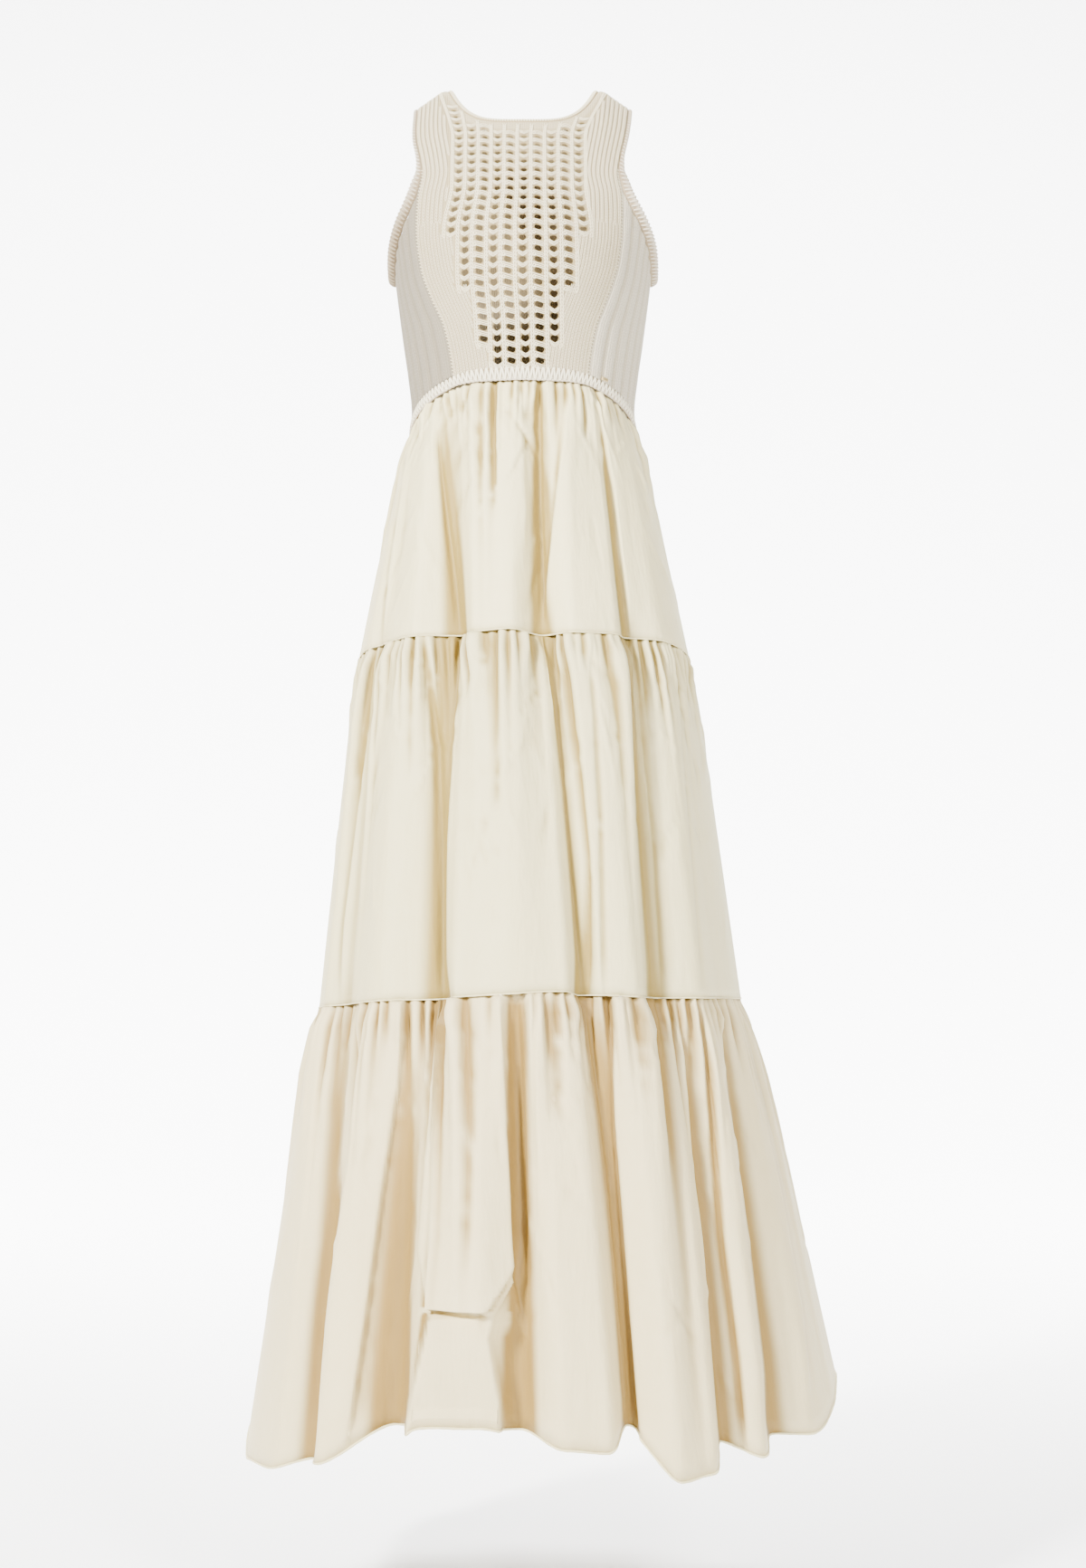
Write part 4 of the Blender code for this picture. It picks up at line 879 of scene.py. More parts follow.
# Tag at the waist
# A small plain plate of pale gold metal, sewn flat on the wearer's left just over the waist edge.
TAG_LENGTH, TAG_HEIGHT, TAG_THICKNESS = 0.0090, 0.0036, 0.0008
TAG_ANGLE, TAG_ABOVE_WAIST_EDGE, TAG_CLEARANCE = 45.0, 0.0032, 0.0006
TAG_LEVELS = table(
    "share height", (0.0, -0.5), (0.94, -0.5), (1.0, -0.3), (1.0, 0.3), (0.94, 0.5), (0.0, 0.5))
z = float(waist_top(TAG_ANGLE)) + TAG_ABOVE_WAIST_EDGE
down = torso.down_to(z)
normal = torso.normal(TAG_ANGLE, down)
across = torso.point(TAG_ANGLE + 2, torso.down_to(z - 0.002)) - torso.point(TAG_ANGLE - 2, down)
across = unit(across - normal * np.dot(across, normal))
centre = torso.point(TAG_ANGLE, down) + normal * (TAG_CLEARANCE + RIB_RELIEF * 0.5 + TAG_THICKNESS / 2)
a, b = rounded(np.linspace(0, 2 * math.pi, 32, endpoint=False), 0.3)
outline = across * a[:, None] * TAG_LENGTH / 2 + np.cross(normal, across) * b[:, None] * TAG_HEIGHT / 2
points = np.concatenate([
    centre + outline * row.share + normal * row.height * TAG_THICKNESS for row in TAG_LEVELS])
index = np.arange(len(points)).reshape(len(TAG_LEVELS), 32)
tag_look = Look("pale gold metal", {"Base Color": (0.62, 0.47, 0.22), "Metallic": 0.5})
tag_look.feed({"Roughness": tag_look.noise(900.0, 3.0) * 0.2 + 0.35})
waist_tag = add_piece("waist_tag", (points, hoops(index[:-1], index[1:]), points[:, :2]), tag_look.material)
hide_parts("hem_tag")


# First tier of the skirt
# Cotton poplin in ivory, gathered into the waist edge. It falls in soft upright folds, with one
# panel lapping the next on the wearer's left. Both faces show at the open edges.
SKIRT_SEAM_GAP, POPLIN_THICKNESS, SEAM_ROLL_STANDS_OUT = 0.0008, 0.0011, 0.0002
RING = "half_width front back centre_x z_front z_left z_right z_back bow"
FOLD = "top_x bottom_x out drop roundness"
CREASE = "facing path depth left right"
FRONT, BACK = -1, 1
SEAM_1, = table(RING, (0.1775, 0.150, 0.150, 0.0015, -0.5870, -0.6185, -0.6150, -0.630, 1.6))
TIER_1_FOLDS = table(
    FOLD, (-0.110, -0.162, 0.003, 0.000, 0.9), (-0.103, -0.147, -0.005, 0.000, 0.8),
    (-0.093, -0.110, 0.007, 0.000, 0.9), (-0.082, -0.068, -0.017, 0.002, 0.8),
    (-0.052, -0.046, 0.005, -0.001, 0.9), (-0.012, -0.012, 0.011, -0.003, 0.9),
    (0.018, 0.0225, -0.015, 0.003, 0.8), (0.045, 0.052, 0.009, 0.000, 0.9),
    (0.068, 0.092, 0.007, 0.000, 0.9), (0.076, 0.110, -0.008, 0.002, 0.7),
    (0.098, 0.143, 0.004, 0.000, 0.9))
CREASES_1 = table(
    CREASE,
    (FRONT, ((-0.030, -0.336), (-0.029, -0.446)), -0.0045, 0.003, 0.003),
    (FRONT, ((-0.088, -0.386), (-0.070, -0.528), (-0.065, -0.585)), -0.005, 0.004, 0.003),
    (FRONT, ((0.018, -0.332), (0.019, -0.459), (0.023, -0.564)), -0.005, 0.004, 0.002),
    (FRONT, ((0.049, -0.334), (0.031, -0.505), (0.023, -0.576)), 0.0045, 0.002, 0.018),
    (FRONT, ((0.077, -0.346), (0.094, -0.433), (0.111, -0.585)), 0.0055, 0.0015, 0.014),
    (FRONT, ((-0.120, -0.393), (-0.139, -0.528), (-0.144, -0.597)), 0.0035, 0.002, 0.014),
    (FRONT, ((-0.053, -0.332), (-0.048, -0.459)), 0.003, 0.004, 0.006),
    (FRONT, ((-0.002, -0.332), (0.001, -0.505)), 0.0025, 0.006, 0.004),
    (BACK, ((0.045, -0.410), (0.040, -0.560)), -0.005, 0.004, 0.003),
    (BACK, ((-0.020, -0.400), (-0.028, -0.610)), 0.005, 0.002, 0.016),
    (BACK, ((-0.080, -0.420), (-0.100, -0.600)), -0.005, 0.003, 0.004))
FOLD_GAIN, FOLD_START = 0.6, 0.95
TIER_COLUMNS = 370
TIER_ROWS = np.linspace(0.0, 1.0, 48) ** 1.3


class HalfEdge:
    """Half of a ring round the skirt, from the -X side seam to the +X one."""

    def __init__(self, points, knots=(0, -1)):
        self.points = np.array(points)
        length = run_of(self.points[:, :2])
        self.share = length / length[-1]
        self.knots = self.share[list(knots)]

    def at(self, share):
        return np.stack([np.interp(share, self.share, column) for column in self.points.T], -1)

    def share_at_x(self, x):
        return np.interp(x, np.maximum.accumulate(self.points[:, 0]), self.share)


def waist_half(facing):
    """Top of the skirt, just under the waist edge."""
    turn = np.linspace(-90.0, 90.0, 181)
    angle = turn if facing == FRONT else 180.0 - turn
    z = waist_z(angle_from_front(angle))
    down = torso.down_to(z)
    base = torso.point(angle, down) - torso.normal(angle, down) * KNIT_THICKNESS / 2
    return HalfEdge(np.column_stack([base[:, :2], z]))


def ring_point(ring, turn, out, facing):
    """A point of a ring, moved out of it, and its direction towards the +X side seam."""
    side, forward = np.sin(np.radians(turn)), np.cos(np.radians(turn))
    depth = facing * (ring.front if facing == FRONT else ring.back)
    point = np.stack([ring.centre_x + ring.half_width * side, depth * forward], -1)
    outward = unit(np.stack([side / ring.half_width, forward / depth], -1))
    return point + outward * out, unit(np.stack([ring.half_width * forward, -depth * side], -1))


def ring_height(ring, turn, facing):
    end = np.where(turn < 0, ring.z_left, ring.z_right)
    middle = ring.z_front if facing == FRONT else ring.z_back
    return end + (middle - end) * (1.0 - (1.0 - np.cos(np.radians(turn))) ** ring.bow)


def folded_half(ring, folds, facing, samples=32):
    """A ring's half in smooth spans from ridge to valley: x, y, z folded, then x, y unfolded."""
    stops = [(-90.0, 0.0, 0.0, 1.0)]
    for fold in folds:
        turn = math.degrees(math.asin((fold.bottom_x - ring.centre_x) / ring.half_width))
        stops.append((turn, fold.out, fold.drop, fold.roundness))
    stops.append((90.0, 0.0, 0.0, 1.0))
    spans = []
    for (turn, out, drop, roundness), (end_turn, end_out, end_drop, end_roundness) in zip(stops, stops[1:]):
        start, start_way = ring_point(ring, turn, out, facing)
        end, end_way = ring_point(ring, end_turn, end_out, facing)
        reach = np.linalg.norm(end - start)
        t = np.arange(samples + (end_turn == 90.0)) / samples
        plan = hermite(t[:, None], start, end, reach * roundness * start_way, reach * end_roundness * end_way)
        turns = turn + (end_turn - turn) * t
        z = ring_height(ring, turns, facing) - drop - (end_drop - drop) * ease(t)
        spans.append(np.column_stack([plan, z, ring_point(ring, turns, 0.0, facing)[0]]))
    return HalfEdge(np.concatenate(spans), samples * np.arange(len(stops)))


def mirrored(folds, ring):
    """The back's folds: the front's in mirror image, a little shallower."""
    return [fold._replace(top_x=-fold.top_x, bottom_x=2 * ring.centre_x - fold.bottom_x, out=0.85 * fold.out,
                          drop=0.4 * fold.drop) for fold in reversed(folds)]


def tier_loop(uppers, ring, folds):
    """Top and lower edge of a tier at even columns, all round from the -X side seam."""
    share = np.linspace(0.0, 1.0, TIER_COLUMNS + 1)
    tops, lowers = [], []
    for facing, own in ((FRONT, folds), (BACK, mirrored(folds, ring))):
        upper, lower = uppers[facing], folded_half(ring, own, facing)
        top_knots = [0.0, *(upper.share_at_x(fold.top_x) for fold in own), 1.0]
        top = upper.at(np.interp(share, lower.knots, np.maximum.accumulate(top_knots)))
        tops.append(top[::-facing][:-1])
        lowers.append(lower.at(share)[::-facing][:-1])
    return np.concatenate(tops), np.concatenate(lowers)


def gathers(top, rows, count, depth, seed):
    """How far the gathers under a seam stand out, by row and column: each of its own size and length."""
    rng = np.random.default_rng(seed)
    length = run_of(top[:, :2])
    total = length[-1] + np.linalg.norm(top[0, :2] - top[-1, :2])
    spacing = total / count
    centres = (np.arange(count) + rng.uniform(-0.28, 0.28, count)) * spacing
    widths = spacing * rng.uniform(0.34, 0.66, count)
    heights = depth * rng.uniform(0.5, 1.4, count)
    sharpness = rng.uniform(0.55, 1.3, count)
    lengths = rng.choice([0.08, 0.13, 0.22, 0.50], count, p=[0.40, 0.32, 0.20, 0.08])
    drift = rng.uniform(-0.9, 0.9, count) * spacing
    result = np.zeros((len(rows), len(top)))
    grow = 0.55 + 0.45 * ease(rows / 0.05)
    for k in range(count):
        off = length - centres[k] - drift[k] * rows[:, None]
        off = (off + total / 2) % total - total / 2
        shape = np.maximum(0.0, np.cos(np.clip(off / widths[k], -1.0, 1.0) * math.pi / 2)) ** sharpness[k]
        result += heights[k] * shape * (grow * np.exp(-(rows / lengths[k]) ** 1.3))[:, None]
    caught = np.exp(-(rows / 0.025) ** 2)[:, None]
    mean, most = result.mean(axis=1, keepdims=True), result.max(axis=1, keepdims=True)
    return result - mean - caught * (most - mean) * 0.35


def dents(grid, rows, count, seed):
    """Small soft dents and puffs, mostly in the gathered part, that slant to either side."""
    rng = np.random.default_rng(seed)
    around = np.cumsum(np.linalg.norm(grid - np.roll(grid, 1, axis=1), axis=-1), axis=1)
    fall = np.abs(grid[-1, :, 2] - grid[0, :, 2]).mean()
    result = np.zeros(grid.shape[:2])
    for _ in range(count):
        place, down = rng.uniform(0.0, 1.0), rng.beta(1.1, 3.2) * fall
        lean, reach = rng.uniform(-0.9, 0.9), rng.uniform(0.012, 0.035)
        width, depth = rng.uniform(0.0025, 0.0055), rng.choice([-1.0, 1.0]) * rng.uniform(0.0006, 0.0017)
        off_x, off_z = around - place * around[:, -1:], rows[:, None] * fall - down
        along = off_z * math.cos(lean) + off_x * math.sin(lean)
        off = off_x * math.cos(lean) - off_z * math.sin(lean)
        result += depth * np.exp(-(off / width) ** 2 - (along / reach) ** 2)
    return result


def crease_field(points, creases):
    """How far listed creases move each point of a tier out: ridges above 0, troughs under it.

    Each runs down its own line; its left and right widths differ where one panel laps the next.
    """
    x, y, z = points[..., 0], points[..., 1], points[..., 2]
    result = np.zeros(x.shape)
    for crease in creases:
        line = np.array(crease.path)
        off = x - np.interp(-z, -line[:, 1], line[:, 0])
        width = np.where(off < 0, crease.left, crease.right)
        fade = ease((line[0, 1] + 0.02 - z) / 0.03) * ease((z - line[-1, 1] + 0.03) / 0.07)
        result += crease.depth * np.exp(-(off / width) ** 2) * fade * (y * crease.facing > 0)
    return result


def poplin_look(name, light, deep, fold_shade):
    """Smooth cotton poplin: a fine close weave with a soft sheen, with painted shade, warm and dark, down in
    the folds.
    """
    look = Look(name, {"Sheen Weight": 0.12, "Sheen Roughness": 0.35, "Specular IOR Level": 0.35})
    warp, weft = look.layer("stitches")
    weave = (warp * 12000.0).math("SINE") * (weft * 9000.0).math("SINE")
    upright = look.node(
        "ShaderNodeVectorMath", {"operation": "MULTIPLY"}, {0: look.place(), 1: (1.0, 1.0, 0.22)})
    slub = look.noise(60.0, 3.0, 0.6)
    crumple = look.noise(34.0, 3.0, 0.55, upright)
    pulls = look.noise(150.0, 2.0, 0.5, upright)
    plain = look.mix((slub * 0.7 + crumple * 0.3).clamp(), deep, light)
    look.feed({
        "Base Color": look.mix(look.layer("painted_shade")[0].clamp(), plain, fold_shade),
        "Roughness": crumple * 0.14 + 0.50,
        "Normal": look.bump(weave * 0.008 + slub * 0.10 + crumple + pulls * 0.35, 0.0022)})
    return look.material


def fold_shade_share(grid, outward):
    """How deep each point lies between the folds on either side of it, from 0 to 1: its share of painted
    shade.
    """
    deepest = np.zeros(grid.shape[:2])
    step = np.linalg.norm(np.diff(grid[-1], axis=0), axis=1).mean()
    for width in (0.006, 0.018, 0.040):
        reach = max(2, round(width / step))
        middle = 0.5 * (np.roll(grid, reach, axis=1) + np.roll(grid, -reach, axis=1))
        sunk = ((middle - grid)[..., :2] * outward).sum(-1)
        deepest = np.maximum(deepest, sunk / (0.0010 + 0.30 * width))
    for _ in range(2):
        deepest = 0.25 * (np.roll(deepest, 1, axis=1) + 2 * deepest + np.roll(deepest, -1, axis=1))
    return ease(deepest)


def tier_faces(index):
    """Triangles of a grid whose rows close on themselves."""
    here, there = index[:-1], index[1:]
    return squares(here, there, np.roll(there, -1, axis=1), np.roll(here, -1, axis=1))


def add_tier(name, uppers, ring, folds, count, depth, puff, creases, seed, material,
             shape=None, rows=TIER_ROWS):
    """One tier all round, as a thin shell: it hangs from its gathered top to its folded lower edge."""
    top, lower = tier_loop(uppers, ring, folds)
    bottom, plain = lower[:, :3], lower[:, 3:]
    spread = ((1 - puff) * rows + puff * (1 - np.exp(-(rows / 0.13) ** 1.6)))[:, None, None]
    deepening = spread ** FOLD_START + FOLD_GAIN * spread * (1.0 - spread)
    plan = top[:, :2] + (plain - top[:, :2]) * spread + (bottom[:, :2] - plain) * deepening
    z = top[:, 2] - SKIRT_SEAM_GAP + (bottom[:, 2] - top[:, 2]) * rows[:, None]
    grid = np.concatenate([plan, z[..., None]], -1)
    onward = unit(np.roll(plan, -1, axis=1) - np.roll(plan, 1, axis=1))
    outward = np.stack([onward[..., 1], -onward[..., 0]], -1)
    swell = gathers(top, rows, count, depth, seed) + crease_field(grid, creases)
    swell += dents(grid, rows, 3 * count, seed + 1) * ease((1.0 - rows) / 0.1)[:, None]
    grid[..., :2] += outward * swell[..., None]
    if shape is not None:
        shape(grid, outward)
    across = np.roll(grid, -1, axis=1) - np.roll(grid, 1, axis=1)
    inner = grid - unit(np.cross(np.gradient(grid, axis=0), across)) * POPLIN_THICKNESS
    index = np.arange(z.size).reshape(z.shape)
    every_other = np.unique(np.append(np.arange(0, len(rows), 2), len(rows) - 1))
    # Painted shade in the fold valleys, on both faces of the tier.
    fold_shade = fold_shade_share(grid, outward)
    tier = add_piece(name, both_faces(grid, inner, tier_faces(index), tier_faces(index[every_other]),
                                      pairs(run_of(bottom), grid[..., 2]), fold_shade, fold_shade), material)
    edge = grid[-1]
    rear = np.concatenate([edge[:1], edge[:TIER_COLUMNS - 1:-1]])
    return tier, {FRONT: HalfEdge(edge[:TIER_COLUMNS + 1]), BACK: HalfEdge(rear)}, edge


def seam_roll(name, line, radius):
    """A narrow roll of cloth along a closed seam or hem, a little uneven as sewing leaves it."""
    step = np.arange(len(line))
    along = unit(np.roll(line, -1, axis=0) - np.roll(line, 1, axis=0))
    out = unit(np.stack([along[:, 1], -along[:, 0], np.zeros(len(line))], -1))
    uneven = radius * (1.0 + 0.08 * (np.sin(step * 1.7) + np.sin(step * 0.61 + 1.0)))
    path = line + out * SEAM_ROLL_STANDS_OUT
    roll = add_piece(name, tubes(path[None], out[None], uneven[None], sides=6, closed=True), poplin)
    return roll


# The third colour of each poplin is the painted shade in its folds.
poplin = poplin_look("ivory poplin", (0.78, 0.70, 0.41), (0.73, 0.635, 0.335), (0.31, 0.215, 0.05))
tier_1, seam_1, edge_1 = add_tier(
    "skirt_tier_1", {FRONT: waist_half(FRONT), BACK: waist_half(BACK)}, SEAM_1, TIER_1_FOLDS,
    70, 0.0068, 0.08, CREASES_1, 11, poplin)
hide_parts("tier_1_front", "tier_1_back")
seam_roll_1 = seam_roll("tier_seam_1", edge_1, 0.0008)


# Second tier
# Wider than the first and gathered to its lower edge, with the same kind of folds carried down.
SEAM_2, = table(RING, (0.2255, 0.205, 0.210, 0.0080, -0.9510, -0.9830, -0.9720, -0.985, 0.7))
TIER_2_FOLDS = table(
    FOLD, (-0.163, -0.205, 0.004, 0.000, 0.9), (-0.150, -0.188, -0.008, 0.000, 0.8),
    (-0.125, -0.140, 0.010, -0.001, 0.9), (-0.090, -0.082, -0.018, 0.003, 0.8),
    (-0.057, -0.060, 0.010, 0.000, 0.9), (-0.020, -0.010, 0.016, -0.001, 0.9),
    (0.014, 0.040, 0.010, -0.003, 0.9), (0.030, 0.060, -0.012, 0.002, 0.8),
    (0.052, 0.081, 0.006, 0.000, 0.9), (0.075, 0.108, 0.012, 0.000, 0.9),
    (0.105, 0.138, -0.012, 0.002, 0.7), (0.135, 0.178, 0.006, 0.000, 0.9),
    (0.158, 0.210, -0.004, 0.000, 0.8))
CREASES_2 = table(
    CREASE,
    (FRONT, ((-0.143, -0.606), (-0.165, -0.737), (-0.183, -0.888), (-0.187, -0.956)), 0.0045, 0.002, 0.016),
    (FRONT, ((-0.098, -0.610), (-0.085, -0.707), (-0.082, -0.797), (-0.080, -0.951)), -0.0055, 0.006, 0.003),
    (FRONT, ((-0.059, -0.586), (-0.068, -0.707), (-0.072, -0.797), (-0.073, -0.954)), 0.0045, 0.002, 0.016),
    (FRONT, ((-0.029, -0.592), (-0.026, -0.774)), -0.0025, 0.005, 0.006),
    (FRONT, ((0.019, -0.583), (0.026, -0.647), (0.037, -0.737), (0.044, -0.827), (0.056, -0.948)),
     0.0045, 0.016, 0.002),
    (FRONT, ((0.041, -0.628), (0.056, -0.737), (0.065, -0.827), (0.065, -0.951)), -0.0055, 0.003, 0.006),
    (FRONT, ((0.071, -0.610), (0.080, -0.774), (0.083, -0.951)), -0.003, 0.003, 0.003),
    (FRONT, ((0.112, -0.603), (0.122, -0.707), (0.131, -0.797), (0.140, -0.957)), 0.0055, 0.016, 0.0015),
    (FRONT, ((0.162, -0.624), (0.186, -0.956)), -0.0015, 0.0015, 0.0015),
    (BACK, ((0.100, -0.640), (0.112, -0.960)), -0.0055, 0.006, 0.003),
    (BACK, ((0.020, -0.640), (0.018, -0.970)), 0.0045, 0.002, 0.016),
    (BACK, ((-0.060, -0.640), (-0.078, -0.970)), -0.0055, 0.003, 0.006))
# Its third colour is the painted shade in the folds.
middle_poplin = poplin_look(
    "ivory poplin of the middle tier", (0.71, 0.635, 0.365), (0.66, 0.575, 0.30), (0.30, 0.21, 0.05))
tier_2, seam_2, edge_2 = add_tier(
    "skirt_tier_2", seam_1, SEAM_2, TIER_2_FOLDS, 96, 0.0100, 0.07, CREASES_2, 23, middle_poplin)
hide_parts("tier_2_front", "tier_2_back")
seam_roll_2 = seam_roll("tier_seam_2", edge_2, 0.0008)


# Third tier
# The widest, with the deepest folds and one tuck caught at the front, which lets a square end of
# cloth hang out under it. Its hem is rolled narrow and stitched.
HEM, = table(RING, (0.3130, 0.272, 0.285, 0.0210, -1.3750, -1.4300, -1.3720, -1.400, 1.0))
TIER_3_FOLDS = table(
    FOLD, (-0.206, -0.2815, 0.006, 0.033, 0.9), (-0.200, -0.254, 0.004, 0.040, 0.9),
    (-0.181, -0.222, -0.012, 0.031, 0.8), (-0.160, -0.196, 0.014, 0.031, 0.9),
    (-0.118, -0.143, -0.036, 0.000, 0.9), (-0.080, -0.092, 0.012, -0.008, 0.9),
    (-0.040, -0.042, 0.016, -0.005, 0.9), (-0.006, -0.004, -0.024, 0.002, 0.8),
    (0.022, 0.045, 0.014, 0.015, 0.9), (0.048, 0.082, 0.012, 0.019, 0.9),
    (0.075, 0.108, -0.024, 0.000, 0.8), (0.105, 0.150, 0.022, 0.050, 0.9),
    (0.140, 0.182, 0.012, 0.048, 0.9), (0.164, 0.208, -0.022, 0.026, 0.8),
    (0.188, 0.240, 0.006, 0.042, 0.9), (0.200, 0.262, -0.014, 0.028, 0.8),
    (0.214, 0.296, 0.006, 0.034, 0.9))
CREASES_3 = table(
    CREASE,
    (FRONT, ((-0.170, -0.967), (-0.173, -1.018), (-0.181, -1.121), (-0.205, -1.284), (-0.211, -1.413)),
     -0.006, 0.006, 0.003),
    (FRONT, ((-0.121, -0.960), (-0.127, -1.050), (-0.144, -1.161), (-0.160, -1.284), (-0.176, -1.397)),
     0.006, 0.018, 0.002),
    (FRONT, ((-0.082, -0.956), (-0.089, -1.080), (-0.097, -1.202), (-0.091, -1.263)), 0.008, 0.002, 0.016),
    (FRONT, ((-0.057, -0.960), (-0.050, -1.080), (-0.054, -1.219)), -0.003, 0.006, 0.004),
    (FRONT, ((-0.021, -0.956), (-0.017, -1.121), (-0.011, -1.227), (-0.032, -1.263)), 0.006, 0.012, 0.002),
    (FRONT, ((-0.005, -0.960), (-0.003, -1.080), (0.002, -1.219)), -0.011, 0.007, 0.004),
    (FRONT, ((0.060, -0.960), (0.077, -1.080), (0.089, -1.202), (0.101, -1.325), (0.103, -1.391)),
     0.006, 0.02, 0.002),
    (FRONT, ((0.085, -0.951), (0.090, -1.080), (0.103, -1.243), (0.112, -1.397)), -0.006, 0.004, 0.004),
    (FRONT, ((0.091, -0.960), (0.093, -1.080), (0.106, -1.243), (0.122, -1.407)), 0.005, 0.002, 0.014),
    (FRONT, ((0.144, -0.960), (0.161, -1.080), (0.175, -1.202), (0.193, -1.366), (0.196, -1.423)),
     0.005, 0.018, 0.002),
    (FRONT, ((0.187, -0.969), (0.193, -1.071), (0.201, -1.202), (0.216, -1.325), (0.222, -1.402)),
     -0.007, 0.004, 0.003),
    (FRONT, ((0.199, -0.969), (0.207, -1.059), (0.228, -1.202), (0.247, -1.366)), 0.0045, 0.014, 0.002),
    (FRONT, ((0.219, -0.962), (0.228, -0.998), (0.265, -1.161), (0.286, -1.284), (0.294, -1.370)),
     0.004, 0.012, 0.002),
    (BACK, ((0.150, -1.000), (0.190, -1.380)), 0.006, 0.018, 0.002),
    (BACK, ((0.060, -1.000), (0.075, -1.390)), -0.009, 0.006, 0.004),
    (BACK, ((-0.030, -1.000), (-0.040, -1.390)), 0.006, 0.002, 0.018),
    (BACK, ((-0.120, -1.000), (-0.150, -1.380)), -0.008, 0.004, 0.006))
TUCK_LEFT_X, TUCK_RIGHT_X, TUCK_Z = -0.0900, -0.0372, -1.2595
ARCH_X, ARCH_Z, ARCH_END_X, ARCH_END_Z = -0.0124, -1.2232, 0.0053, -1.2800
FLAP_LEFT_X, FLAP_RIGHT_X, FLAP_Z = -0.1130, -0.0210, -1.3700
TUCK_SWELL, TUCK_PINCH, PANEL_SWELL, FLAP_SWELL = 0.012, 0.004, 0.005, 0.009
HEM_ROWS = np.sort(np.concatenate([
    np.linspace(0.0, 1.0, 36) ** 1.25, np.linspace(0.625, 0.715, 13), np.linspace(0.7195, 0.7515, 14)]))


def tuck(grid, outward):
    """Catches the front in a level tuck: the cloth bellies over it, lifts in an arch at its right end
    and hangs out under it in a square flap."""
    x, z = grid[..., 0], grid[..., 2]
    front = grid[..., 1] < 0
    level = np.interp(x, [TUCK_RIGHT_X, ARCH_X], [TUCK_Z, ARCH_Z])
    softness = np.interp(x, [TUCK_RIGHT_X, ARCH_X], [0.003, 0.012])
    above, below = np.maximum(0.0, z - level), np.maximum(0.0, level - z)
    held = ease((x - TUCK_LEFT_X + 0.004) / 0.005) * ease((ARCH_X + 0.003 - x) / 0.005)
    over = np.exp(-above / 0.070) * ease((z - level) / softness + 0.4)
    pinched = np.exp(-below / 0.010) * (z < level) * (x < TUCK_RIGHT_X)
    grid[..., :2] += outward * (held * (TUCK_SWELL * over - TUCK_PINCH * pinched) * front)[..., None]
    right = np.interp(-z, [-ARCH_Z, -ARCH_END_Z], [ARCH_X, ARCH_END_X])
    panel = ease((x - TUCK_RIGHT_X) / 0.004) * ease((right + 0.002 - x) / 0.004)
    panel = panel * ease((z - ARCH_END_Z + 0.006) / 0.010)
    grid[..., :2] += outward * (PANEL_SWELL * panel * (z < level) * front)[..., None]
    share = np.clip(below / (TUCK_Z - FLAP_Z), 0.0, 1.0)
    left = TUCK_LEFT_X + (FLAP_LEFT_X - TUCK_LEFT_X) * share
    right = TUCK_RIGHT_X + (FLAP_RIGHT_X - TUCK_RIGHT_X) * share
    flap = ease((x - left + 0.003) / 0.004) * ease((right + 0.003 - x) / 0.004) * ease(below / 0.008) * front
    for row in np.flatnonzero(flap.max(axis=1) > 0.5):
        share = flap[row]
        depth = (grid[row, :, 1] * share).sum() / share.sum() - FLAP_SWELL * share.max()
        grid[row, :, 1] += (depth - grid[row, :, 1]) * share


# Its third colour is the painted shade in the folds.
low_poplin = poplin_look(
    "ivory poplin of the lowest tier", (0.72, 0.615, 0.36), (0.66, 0.55, 0.29), (0.29, 0.18, 0.042))
tier_3, hem, edge_3 = add_tier(
    "skirt_tier_3", seam_2, HEM, TIER_3_FOLDS, 124, 0.0115, 0.08, CREASES_3, 37, low_poplin, tuck, HEM_ROWS)
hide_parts("tier_3_front", "tier_3_back")
hem_roll = seam_roll("hem_roll", edge_3, 0.0012)


# Stage, light and camera
# A pale floor that curves up behind the dress, soft light from large panels, and the photo's view:
# straight on, about level with the middle of the dress.
FLOOR_Z, BEND_Y, BEND_RADIUS = -1.62, 3.4, 3.0


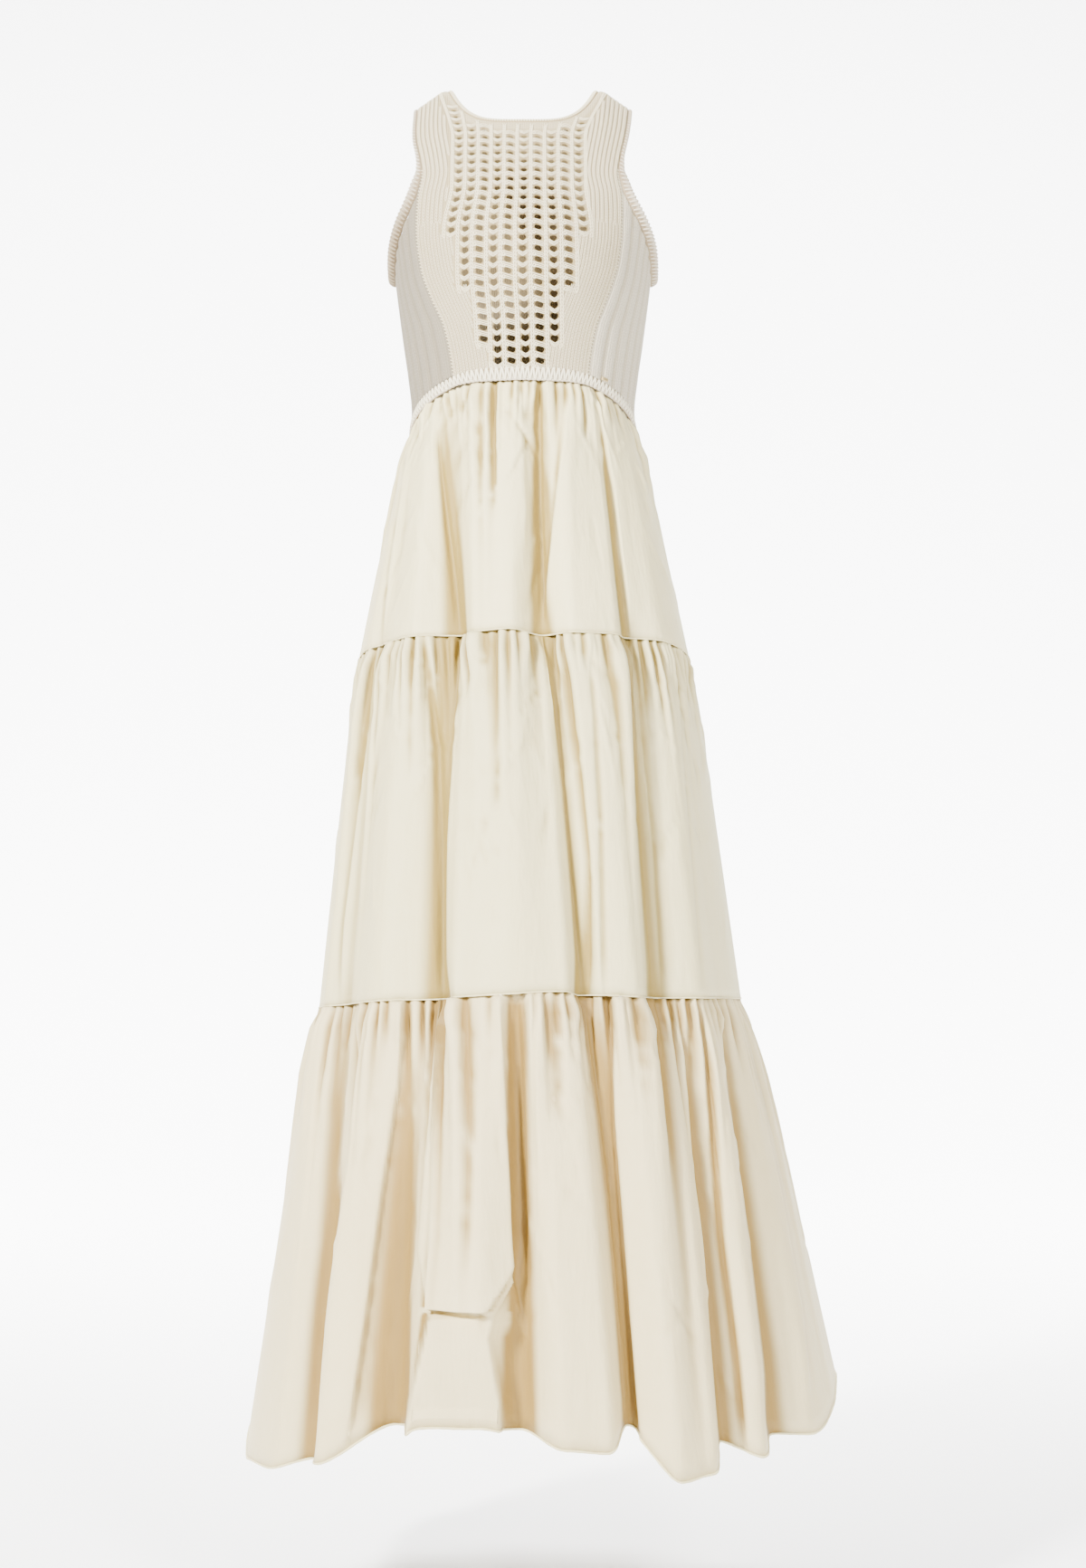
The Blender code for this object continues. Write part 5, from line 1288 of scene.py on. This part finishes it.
def add_light(name, place, aim, size, power, tint=(1.0, 1.0, 1.0)):
    """One soft square light."""
    lamp = bpy.data.lights.new(name, "AREA")
    lamp.shape, lamp.size, lamp.energy, lamp.color = "SQUARE", size, power, tint
    light = bpy.data.objects.new(name, lamp)
    light.location = place
    way = np.array(aim) - np.array(place)
    light.rotation_euler = (math.atan2(math.hypot(way[0], way[1]), -way[2]), 0.0, math.atan2(-way[0], way[1]))
    bpy.context.collection.objects.link(light)


bend = [(BEND_Y + BEND_RADIUS * math.sin(a), FLOOR_Z + BEND_RADIUS * (1 - math.cos(a)))
        for a in np.linspace(0.1, math.pi / 2, 14)]
profile = [(-7.0, FLOOR_Z), (BEND_Y, FLOOR_Z), *bend, (BEND_Y + BEND_RADIUS, 6.0)]
sweep = bpy.data.meshes.new("sweep")
sweep.from_pydata([(x, y, z) for y, z in profile for x in (-9.0, 9.0)], [],
                  [(2 * k, 2 * k + 1, 2 * k + 3, 2 * k + 2) for k in range(len(profile) - 1)])
sweep.shade_smooth()
sweep.materials.append(Look("pale floor", {"Base Color": (0.92, 0.92, 0.92), "Roughness": 0.9}).material)
floor = bpy.data.objects.new("floor", sweep)
bpy.context.collection.objects.link(floor)

world = bpy.data.worlds.new("studio")
world.use_nodes = True
world.node_tree.nodes["Background"].inputs["Color"].default_value = (1.0, 1.0, 1.0, 1.0)
world.node_tree.nodes["Background"].inputs["Strength"].default_value = 0.05
bpy.context.scene.world = world
add_light("key", (-2.3, -2.8, 1.3), (0.0, 0.0, -0.85), 0.5, 630.0, (1.0, 0.99, 0.97))
add_light("front", (1.8, -3.7, 0.9), (0.1, 0.0, -0.1), 0.8, 340.0, (1.0, 0.99, 0.98))
add_light("backdrop_left", (-2.9, 2.0, 0.9), (-0.6, 6.0, -0.5), 1.8, 1050.0)
add_light("backdrop_right", (2.9, 2.0, 0.9), (0.6, 6.0, -0.5), 1.8, 1050.0)
add_light("floor_light", (0.0, 2.4, 2.8), (0.0, 2.3, -1.4), 2.0, 700.0)

camera_data = bpy.data.cameras.new("camera")
camera_data.sensor_width = 36.0
camera_data.sensor_fit = "AUTO"
camera_data.lens = 64.2
camera_data.clip_end = 50.0
camera = bpy.data.objects.new("camera", camera_data)
camera.location = (0.0213, -3.0, -0.743)
camera.rotation_euler = (math.pi / 2, 0.0, 0.0)
bpy.context.collection.objects.link(camera)
bpy.context.scene.camera = camera
